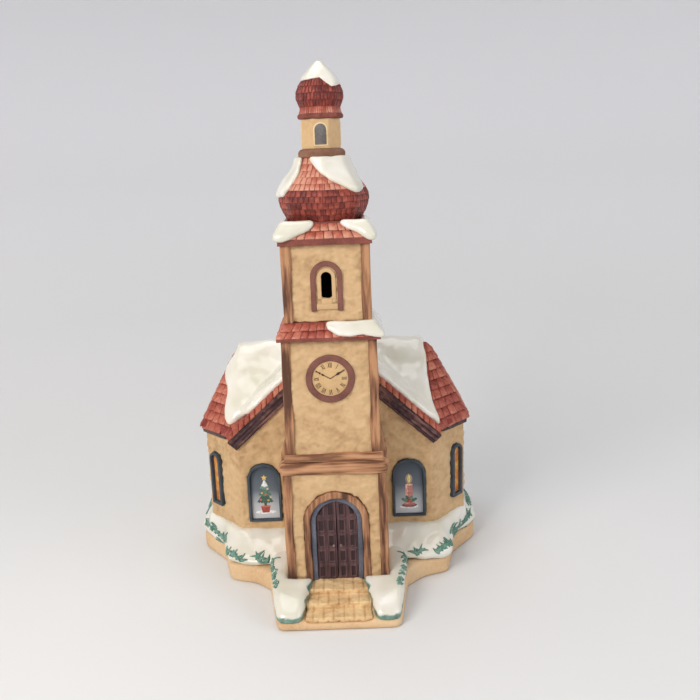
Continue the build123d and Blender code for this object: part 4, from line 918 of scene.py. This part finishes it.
# %% Flared eave under the small dome
flare = [
    (7.7, 185.05), (8.15, 185.2), (8.4, 185.7), (8.35, 186.3),
    (7.9, 186.9), (7.5, 187.7), (7.4, 188.4), (7.4, 189.05),
]
ringed_piece("flared_eave", flare, eave_red, "lantern_eave")
neck_tiles = start_tiles()
neck_profile = [(8.0, 186.9), (7.65, 187.7), (7.5, 188.5), (7.5, 189.2)]
neck = [ring_corners(8, radius, level) for radius, level in neck_profile]
lay_ring(neck_tiles, neck, width=0.9, row=0, wander=0.25, tint=0.6)
finish_tiles("neck_tiles", neck_tiles, "steeple", thickness=0.3, soft=0.08)

# %% Stain on the hips
for node in ("skirt_roof", "pent_roof"):
    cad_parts[node].data.materials.clear()
    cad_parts[node].data.materials.append(eave_red)
print("hips stained")

# %% [markdown]
# ## Snow on the roofs
# The drifts are poured on thickly and their edges roll over. A small voxel and several rounds of smoothing
# round the CAD sheets, and plumping them up first fills the valley beside the gable.

# %% Roof snow
soft_drift = [((9, 9, 9), 0.8), ((4, 4, 4), 0.2)]
thin_drift = [((7, 7, 7), 0.35), ((3, 3, 3), 0.1)]


def pour_snow(name, node, body, carvings, voxel, rounds, swell, plump):
    """A drift of snow on the roofs, plumped up and then drawn back by a negative swell."""
    cast(
        name, [node], roof_snow_glaze, body, carvings, voxel=voxel, rounds=rounds, swell=swell,
        plump=plump,
    )


for side in ("left", "right"):
    pour_snow(
        f"{side}_nave_drift", f"{side}_roof_snow", "house", soft_drift, voxel=0.6, rounds=18, swell=-0.7, plump=2.4
    )
    for roof in ("pent", "dome"):
        pour_snow(
            f"{side}_{roof}_drift", f"{side}_{roof}_snow", "steeple", thin_drift, voxel=0.4, rounds=10, swell=-0.2,
            plump=1.2,
        )
pour_snow("skirt_drift", "skirt_snow", "steeple", thin_drift, voxel=0.4, rounds=6, swell=-0.3, plump=0.9)
pour_snow("peak_drift", "peak_snow", "steeple", thin_drift, voxel=0.4, rounds=14, swell=-0.3, plump=0.9)

# %% [markdown]
# ## Arched frames
# Front windows, belfry slots and lantern windows have the same shape: a round arch on straight legs. One helper
# makes its outline, and a band between two outlines is a frame.

# %% Arches


def arch_outline(half, foot, top, steps=14):
    """Outline of a round arch from half its width, its foot and its top; (x, z) in mm."""
    turns = [math.pi * i / steps for i in range(steps + 1)]
    return [(-half, foot), (half, foot)] + [(half * math.cos(t), top - half + half * math.sin(t)) for t in turns]


def on_tower(turn):
    """Places (across, outwards, up) on one side of the tower's axis, turned in degrees from the front."""
    c, s = math.cos(math.radians(turn)), math.sin(math.radians(turn))
    return lambda across, out, up: Vector((across * c + out * s, axis_y + across * s - out * c, up))


def on_gable(middle):
    """Places (across, outwards, up) on the gable wall round a window's middle."""
    return lambda across, out, up: Vector((middle + across, gable_y - out, up))


def join_loops(shape, loops):
    """A skin of quads from each closed loop of points to the next."""
    for loop, after in zip(loops, loops[1:]):
        for i in range(len(loop)):
            j = (i + 1) % len(loop)
            shape.faces.new((loop[i], loop[j], after[j], after[i]))


def arch_frame(shape, place, outer, inner, near, far):
    """A frame between two arches, from a near to a far distance out of the wall."""
    loops = []
    for outline, out in ((outer, near), (inner, near), (inner, far), (outer, far)):
        loops.append([shape.verts.new(place(x, out, z) * mm) for x, z in outline])
    join_loops(shape, loops + loops[:1])


def add_plate(shape, outline, shift):
    """A flat plate: the face inside an outline, extruded by a shift; mm."""
    face = shape.faces.new([shape.verts.new(place * mm) for place in outline])
    bmesh.ops.translate(shape, verts=thicken(shape, [face]), vec=shift * mm)


def arch_plate(shape, place, outline, near, far):
    """A solid arch from a near to a far distance out of the wall."""
    add_plate(shape, [place(x, near, z) for x, z in outline], place(0, far, 0) - place(0, near, 0))


def finish_arches(name, shape, material, body, soft, nodes=()):
    """Rounds the edges of arches and makes them a piece."""
    bmesh.ops.recalc_face_normals(shape, faces=shape.faces)
    round_edges(shape, turn=60, width=soft, segments=2)
    add_piece(name, shape, material, body, nodes, crease=40)


# %% Window frames and slots
windows = {"left": -30.5, "right": 30.5}
window_outer = arch_outline(half=6.95, foot=21.85, top=47.65)
window_inner = arch_outline(half=5.9, foot=22.7, top=46.6)
for side, middle in windows.items():
    shape = bmesh.new()
    arch_frame(shape, on_gable(middle), window_outer, window_inner, near=1.1, far=-2.0)
    finish_arches(
        f"{side}_picture_frame", shape, window_slate, "house", soft=0.2,
        nodes=[f"{side}_window_frame"],
    )

slots = bmesh.new()
slot_outer = arch_outline(half=3.35, foot=121.2, top=132.5)
slot_inner = arch_outline(half=1.95, foot=121.45, top=131.15)
for turn in (0, 90, 270):
    arch_frame(slots, on_tower(turn), slot_outer, slot_inner, near=15.65, far=14.6)
finish_arches("slot_linings", slots, stucco, "steeple", soft=0.15)

surrounds, panes = bmesh.new(), bmesh.new()
lantern_outer = arch_outline(half=2.6, foot=175.5, top=183.75)
lantern_inner = arch_outline(half=2.1, foot=175.9, top=183.2)
for turn in (0, 90, 180, 270):
    arch_frame(surrounds, on_tower(turn), lantern_outer, lantern_inner, near=7.25, far=6.5)
    arch_plate(panes, on_tower(turn), arch_outline(half=2.2, foot=175.8, top=183.3), near=7.1, far=6.6)
finish_arches("lantern_surrounds", surrounds, lantern_cream, "steeple", soft=0.12)
finish_arches("lantern_panes", panes, lantern_grey, "steeple", soft=0.05, nodes=["lantern_windows"])

# %% [markdown]
# ## Clock numerals and hands
# The hours are painted strokes. I, V and X are straight bars, so each numeral is a few thin boxes, turned so that
# it stands on the dial's middle. Each hand is a thin bar with a long diamond on it.

# %% Clock numerals
dial_y, dial_z = -36.4, 91.5
letter_bars = {
    "I": [((0, 0), (0, 1))],
    "V": [((-0.28, 1), (0, 0)), ((0.28, 1), (0, 0))],
    "X": [((-0.28, 0), (0.28, 1)), ((0.28, 0), (-0.28, 1))],
}
letter_width = {"I": 0.32, "V": 0.66, "X": 0.66}
hours = ["XII", "I", "II", "III", "IV", "V", "VI", "VII", "VIII", "IX", "X", "XI"]
numeral_foot, numeral_height, letter_stretch, stroke = 4.25, 1.95, 0.62, 0.2


def dial_plate(shape, corners, out, thickness):
    """A thin plate with (x, z) corners round the dial's middle, from a distance out of the dial inwards; mm."""
    add_plate(shape, [Vector((x, dial_y - out, dial_z + z)) for x, z in corners], Vector((0, thickness, 0)))


def dial_bar(shape, start, end, width, out, thickness):
    """A thin bar on the dial between two points, given as vectors from its middle."""
    side = Vector((start.y - end.y, end.x - start.x)).normalized() * width / 2
    dial_plate(shape, [start - side, start + side, end + side, end - side], out, thickness)


numerals = bmesh.new()
for hour, letters in enumerate(hours):
    spin = Matrix.Rotation(-math.tau * hour / 12, 2)
    x = -sum(letter_width[letter] for letter in letters) / 2
    for letter in letters:
        x += letter_width[letter] / 2
        for bar in letter_bars[letter]:
            start, end = [
                spin @ Vector(((x + across) * numeral_height * letter_stretch, numeral_foot + up * numeral_height))
                for across, up in bar
            ]
            dial_bar(numerals, start, end, stroke, out=0.04, thickness=0.06)
        x += letter_width[letter] / 2
bmesh.ops.recalc_face_normals(numerals, faces=numerals.faces)
add_piece("clock_numerals", numerals, numeral_brown, "house")

# %% Clock hands
# Each hand: its turn in degrees and its reach, then the start, end and width of its diamond, in mm
hands = [(58, 6.3, 2.1, 4.9, 1.0), (-60, 6.2, 2.2, 4.2, 0.75)]
pointers = bmesh.new()
for degrees, reach, start, end, width in hands:
    aim = Vector((math.sin(math.radians(degrees)), math.cos(math.radians(degrees))))
    side = Vector((aim.y, -aim.x)) * width / 2
    middle = aim * (start + end) / 2
    dial_bar(pointers, Vector((0, 0)), aim * reach, width=0.26, out=0.16, thickness=0.16)
    dial_plate(pointers, [aim * start, middle + side, aim * end, middle - side], out=0.24, thickness=0.24)
bmesh.ops.recalc_face_normals(pointers, faces=pointers.faces)
add_piece("clock_pointers", pointers, ink_brown, "house", ["clock_hands"], crease=30)

# %% [markdown]
# ## Window pictures
# Two films close the front windows: a night sky that pales towards the ground. Each carries a printed winter motif,
# a fir tree in a tub on the left and a lit candle with holly on the right. The shapes are flat polygons that carry
# their colour as an attribute, stacked a hair apart.

# %% Film and print materials
cloud_size, cloud_reach, ground_level, sky_level = 6 * mm, 3 * mm, 25 * mm, 47 * mm
night_film, tree, shader = start_material("printed_night_film", 0.35, 0.4)
place = add_node(tree, "TexCoord", out="Object")
height = add_node(tree, "SeparateXYZ", {"Vector": place}, "Z")
cloud = add_node(tree, "TexNoise", {"Vector": place, "Scale": 1 / cloud_size, "Detail": 2.0})
drift_up = add_node(tree, "Math", {0: cloud, 1: cloud_reach, 2: height}, operation="MULTIPLY_ADD")
rise = add_node(tree, "MapRange", {"Value": drift_up, "From Min": ground_level, "From Max": sky_level})
greys = [(0.0, "#D2D5D9"), (0.25, "#B4B9BF"), (0.55, "#626B76"), (1.0, "#3D4854")]
set_inputs(tree, shader, {"Base Color": add_node(tree, "ValToRGB", {"Fac": rise}, stops=greys)})

motif_print, tree, shader = start_material("printed_motifs", 0.4, 0.4)
place = add_node(tree, "TexCoord", out="Object")
ink = add_node(tree, "Attribute", out="Color", attribute_name="ink")
speckle = add_node(tree, "TexNoise", {"Vector": place, "Scale": 1 / (0.9 * mm), "Detail": 3.0})
shade = add_node(tree, "MapRange", {
    "Value": speckle, "From Min": 0.3, "From Max": 0.7, "To Min": 0.7, "To Max": 1.25,
})
speckled = add_node(tree, "VectorMath", {0: ink, "Scale": shade}, operation="SCALE")
set_inputs(tree, shader, {"Base Color": speckled})
print("film and print made")

# %% Printed motifs
film_y, film_foot, ink_gap, ink_layer_gap = -8.1, 23.35, 0.04, 0.012


def oval(x, z, wide, high, corners=18):
    """Points of an oval round a middle."""
    turns = [math.tau * i / corners for i in range(corners)]
    return [(x + wide * math.cos(t), z + high * math.sin(t)) for t in turns]


def box(left, right, foot, top):
    """Points of an upright rectangle."""
    return [(left, foot), (right, foot), (right, top), (left, top)]


def star(x, z, outer, inner, points=5):
    """Points of a star, one of them up."""
    turns = [math.pi / 2 + math.pi * i / points for i in range(2 * points)]
    return [(x + r * math.cos(t), z + r * math.sin(t)) for t, r in zip(turns, [outer, inner] * points)]


def bough(foot, top, half, ragged=7, dip=0.5, droop=0.6):
    """A tier of a fir tree: a peak with a ragged hem."""
    hem = []
    for i in range(2 * ragged + 1):
        across = i / ragged - 1
        hem.append((half * across, foot + (dip if i % 2 else 0.0) + droop * abs(across)))
    return [(0, top)] + hem


def leaf(x, z, length, turn):
    """A holly leaf with scalloped sides."""
    profile = [(0, 0), (0.2, 0.2), (0.3, 0.12), (0.5, 0.26), (0.62, 0.14), (0.8, 0.17), (1, 0)]
    outline = profile + [(along, -across) for along, across in reversed(profile[1:-1])]
    spin = Matrix.Rotation(turn, 2)
    return [(x + p.x, z + p.y) for p in (spin @ Vector((a * length, b * length)) for a, b in outline)]


def print_motif(shape, middle, figures):
    """Prints (points, colour) figures in front of a film, each a hair before the last."""
    ink_layer = shape.verts.layers.float_color["ink"]
    for order, (points, colour) in enumerate(figures):
        y = film_y - ink_gap - ink_layer_gap * order
        verts = [shape.verts.new(Vector((middle + x, y, film_foot + z)) * mm) for x, z in points]
        for vert in verts:
            vert[ink_layer] = linear(colour)
        face = shape.faces.new(verts)
        face.normal_update()
        if face.normal.y > 0:
            face.normal_flip()


tree_figures = [
    (oval(0, 2.2, 4.3, 0.9), "#E6E6EA"),
    ([(-1.5, 2.0), (1.5, 2.0), (1.9, 4.8), (-1.9, 4.8)], "#A24B3E"),
    (box(-2.05, 2.05, 4.5, 5.2), "#C2705C"), (box(-0.5, 0.5, 5.2, 6.6), "#6B4A38"),
    (bough(6.0, 12.0, 3.7), "#3F5F52"), (bough(9.2, 14.6, 3.0), "#54776A"),
    (bough(12.2, 17.2, 2.2), "#6F9084"), (bough(13.4, 17.2, 1.5), "#DDE3E2"),
    (oval(-1.9, 8.0, 0.5, 0.5), "#C96A55"), (oval(1.3, 7.6, 0.5, 0.5), "#D9B35C"),
    (oval(0.3, 10.2, 0.5, 0.5), "#C96A55"), (oval(-1.2, 11.0, 0.45, 0.45), "#D9B35C"),
    (oval(1.2, 12.8, 0.42, 0.42), "#E2C9B0"), (oval(2.3, 9.0, 0.42, 0.42), "#E2C9B0"),
    (star(0, 17.9, 1.35, 0.6), "#E7C66F"),
]
flame_side = [(0.5, 15.9), (0.72, 14.7), (0.45, 13.6)]
flame = [(0, 17.4)] + flame_side + [(0, 13.2)] + [(-x, z) for x, z in reversed(flame_side)]
candle_figures = [
    (oval(0, 2.4, 4.0, 0.9), "#E6E6EA"), (oval(0, 3.0, 3.3, 0.9), "#8C5148"), (oval(0, 3.5, 2.7, 0.7), "#B4746A"),
    ([(-1.55, 3.6), (1.55, 3.6), (1.5, 12.4), (-1.5, 12.4)], "#C98478"),
    ([(-1.55, 3.6), (-0.5, 3.6), (-0.5, 12.4), (-1.5, 12.4)], "#E0A79A"),
    (oval(0, 12.4, 1.5, 0.45), "#EBC3B4"),
    ([(-1.5, 12.4), (-0.9, 12.4), (-1.0, 10.6), (-1.3, 10.2)], "#EBC3B4"),
    (box(-0.1, 0.1, 12.4, 13.5), "#4A3A34"), (oval(0, 15.0, 1.5, 2.2), "#A39682"), (flame, "#F1D588"),
    (leaf(0.2, 4.6, 3.6, 0.45), "#4F7263"), (leaf(-0.2, 4.6, 3.6, math.pi - 0.45), "#5E8474"),
    (leaf(0.1, 4.9, 3.0, 1.15), "#6C9382"), (leaf(-0.1, 4.9, 3.0, math.pi - 1.15), "#47695B"),
    (oval(-0.6, 4.8, 0.55, 0.55), "#B2463C"), (oval(0.6, 4.7, 0.55, 0.55), "#C25A4C"),
    (oval(0, 5.6, 0.5, 0.5), "#A83E36"),
]
prints = bmesh.new()
prints.verts.layers.float_color.new("ink")
print_motif(prints, windows["left"], tree_figures)
print_motif(prints, windows["right"], candle_figures)
add_piece("window_prints", prints, motif_print, "house")
film_outline = arch_outline(half=5.85, foot=22.75, top=46.6)
for side, middle in windows.items():
    film = bmesh.new()
    arch_plate(film, on_gable(middle), film_outline, near=gable_y - film_y, far=-1.4)
    finish_arches(f"{side}_film", film, night_film, "house", soft=0.05, nodes=[f"{side}_window_panel"])

# %% [markdown]
# ## Evergreen sprigs
# Sprigs poke out of the snow along its rim. Three leaves fan out from each root, and each is a short bent stroke: a
# ray finds its root on the bank's shoulder, its path steps along the snow, and a thin diamond section is swept along
# it.

# %% Snow under the sprigs
bank_verts, bank_faces = [], []
for name in ("snow_bank", "left_snow_mound", "right_snow_mound"):
    mesh = bpy.data.objects[name].data
    first = len(bank_verts)
    bank_verts += [vert.co.copy() for vert in mesh.vertices]
    bank_faces += [[first + i for i in face.vertices] for face in mesh.polygons]
snow_surface = BVHTree.FromPolygons(bank_verts, bank_faces)
print("snow", len(bank_faces), "faces")

# %% Sprigs
leaf_steps, leaf_ridge, leaf_keel, leaf_lift = 6, 0.35, 0.3, 0.12
leaf_climb, leaf_start, leaf_stub = 0.3, 0.12, 0.06
ray_out, ray_level, root_level = 6, 15, 9.5


def add_leaf(shape, root, heading, length, width, bend):
    """One bent leaf on the snow from a root (x, y), along a heading in radians; sizes in mm."""
    x, y = root
    outside = Vector((x - ray_out * math.cos(heading), y - ray_out * math.sin(heading), ray_level))
    aim = Vector((x, y, root_level)) - outside
    spot, normal, _, _ = snow_surface.ray_cast(outside * mm, aim)
    if spot is None:
        return
    rings, angle = [], heading
    for step in range(leaf_steps + 1):
        along = Vector((math.cos(angle), math.sin(angle), leaf_climb))
        along = (along - normal * along.dot(normal)).normalized()
        taper = math.sin(math.pi * (leaf_start + (1 - leaf_start) * step / leaf_steps))
        half = normal.cross(along) * (width * taper + leaf_stub)
        middle = spot / mm + normal * leaf_lift
        section = [middle + half, middle + normal * leaf_ridge, middle - half, middle - normal * leaf_keel]
        rings.append([shape.verts.new(inside_box(corner * mm)) for corner in section])
        spot, normal, _, _ = snow_surface.find_nearest(spot + along * length / leaf_steps * mm)
        angle += bend / leaf_steps
    join_loops(shape, rings)
    shape.faces.new(reversed(rings[0]))
    shape.faces.new(rings[-1])


# Rows of leaves on the right: the first and last root, how many, their length in mm and their heading in degrees
leaf_rows = [
    ((58.6, 11.5), (47.6, -5.6), 10, 4.8, 110), ((47.2, -14.5), (41.0, -20.8), 6, 5.0, 115),
    ((33.5, -21.0), (27.4, -25.0), 6, 5.6, 95), ((26.4, -29.0), (23.8, -44.0), 6, 3.0, 130),
    ((57.2, 19.0), (57.2, 38.0), 8, 4.2, 180), ((53.6, 42.0), (43.0, 52.6), 7, 4.4, 225),
    ((35.0, 54.6), (6.0, 54.6), 11, 4.2, 270),
]
leaf_fan, turn_wander, root_wander = 0.75, 0.5, 0.25
reach_range, width_range = (0.6, 1.05), (0.4, 0.7)
sprigs = bmesh.new()
for first, last, count, length, degrees in leaf_rows:
    for side in (-1, 1):
        for index in range(count):
            share = (index + chance.uniform(-root_wander, root_wander)) / max(1, count - 1)
            x, y = [a + (b - a) * share for a, b in zip(first, last)]
            heading = math.radians(degrees) + chance.uniform(-turn_wander, turn_wander)
            heading = heading if side > 0 else math.pi - heading
            for fan in (-leaf_fan, 0.0, leaf_fan):
                bend = fan + chance.uniform(-turn_wander, turn_wander)
                reach = length * chance.uniform(*reach_range)
                add_leaf(sprigs, (side * x, y), heading + fan, reach, chance.uniform(*width_range), bend)
bmesh.ops.recalc_face_normals(sprigs, faces=sprigs.faces)
add_piece("evergreen_sprigs", sprigs, sprig_green, "house")

# %% [markdown]
# ## Lamp
# The lamp clips into the back wall: a white plastic holder with a cord inlet, two steel springs, a brass screw
# socket and a small clear bulb.

# %% Lamp
white_plastic = stained_bisque(
    "white_lamp_plastic", "#F0EFEA", "#EAE8E2", "#DFDCD3", blotch=20.0, grit=0.6, relief=0.01, roughness=0.35
)
# The marks of polishing are too fine to show at this size, so they are drawn as coarse as they need to show
polish_mark = 0.6


def bright_metal(name, colour, roughness):
    """A metal with fine brushed roughness."""
    material, tree, shader = start_material(name, roughness)
    place = add_node(tree, "TexCoord", out="Object")
    brushed = add_node(tree, "TexNoise", {"Vector": place, "Scale": 1 / (polish_mark * mm), "Detail": 2.0})
    spread = {"Value": brushed, "To Min": roughness - 0.08, "To Max": roughness + 0.12}
    set_inputs(tree, shader, {
        "Metallic": 1.0, "Base Color": linear(colour), "Roughness": add_node(tree, "MapRange", spread),
    })
    return material


lamp_brass = bright_metal("lamp_brass", "#D8B562", 0.25)
spring_steel = bright_metal("spring_steel", "#C4C6C8", 0.28)
clear_glass, tree, shader = start_material("clear_bulb_glass", 0.03)
set_inputs(tree, shader, {"Base Color": linear("#FBF8F0"), "Transmission Weight": 0.92, "IOR": 1.3})
bevelled("lamp_body", ["lamp_holder"], white_plastic, "lamp", width=0.4, segments=3)
bevelled("lamp_springs", ["lamp_clips"], spring_steel, "lamp", width=0.1)
bevelled("screw_socket", ["socket_shell"], lamp_brass, "lamp", width=0.08)
bevelled("socket_contact", ["centre_contact"], lamp_brass, "lamp", width=0.2)
bevelled("bulb_screw_cap", ["bulb_cap"], lamp_brass, "bulb", width=0.15)
bevelled("bulb_envelope", ["bulb_glass"], clear_glass, "bulb", width=0.05)

# %% [markdown]
# ## Size
# The dressed church is meant to stay inside the CAD model's box, so how far it stands out of that box on each side is
# printed.

# %% Size
low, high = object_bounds()
print("proud of the CAD box in mm", [round((c - v) / mm, 2) for c, v in zip(cad_low, low)],
      [round((v - c) / mm, 2) for c, v in zip(cad_high, high)])
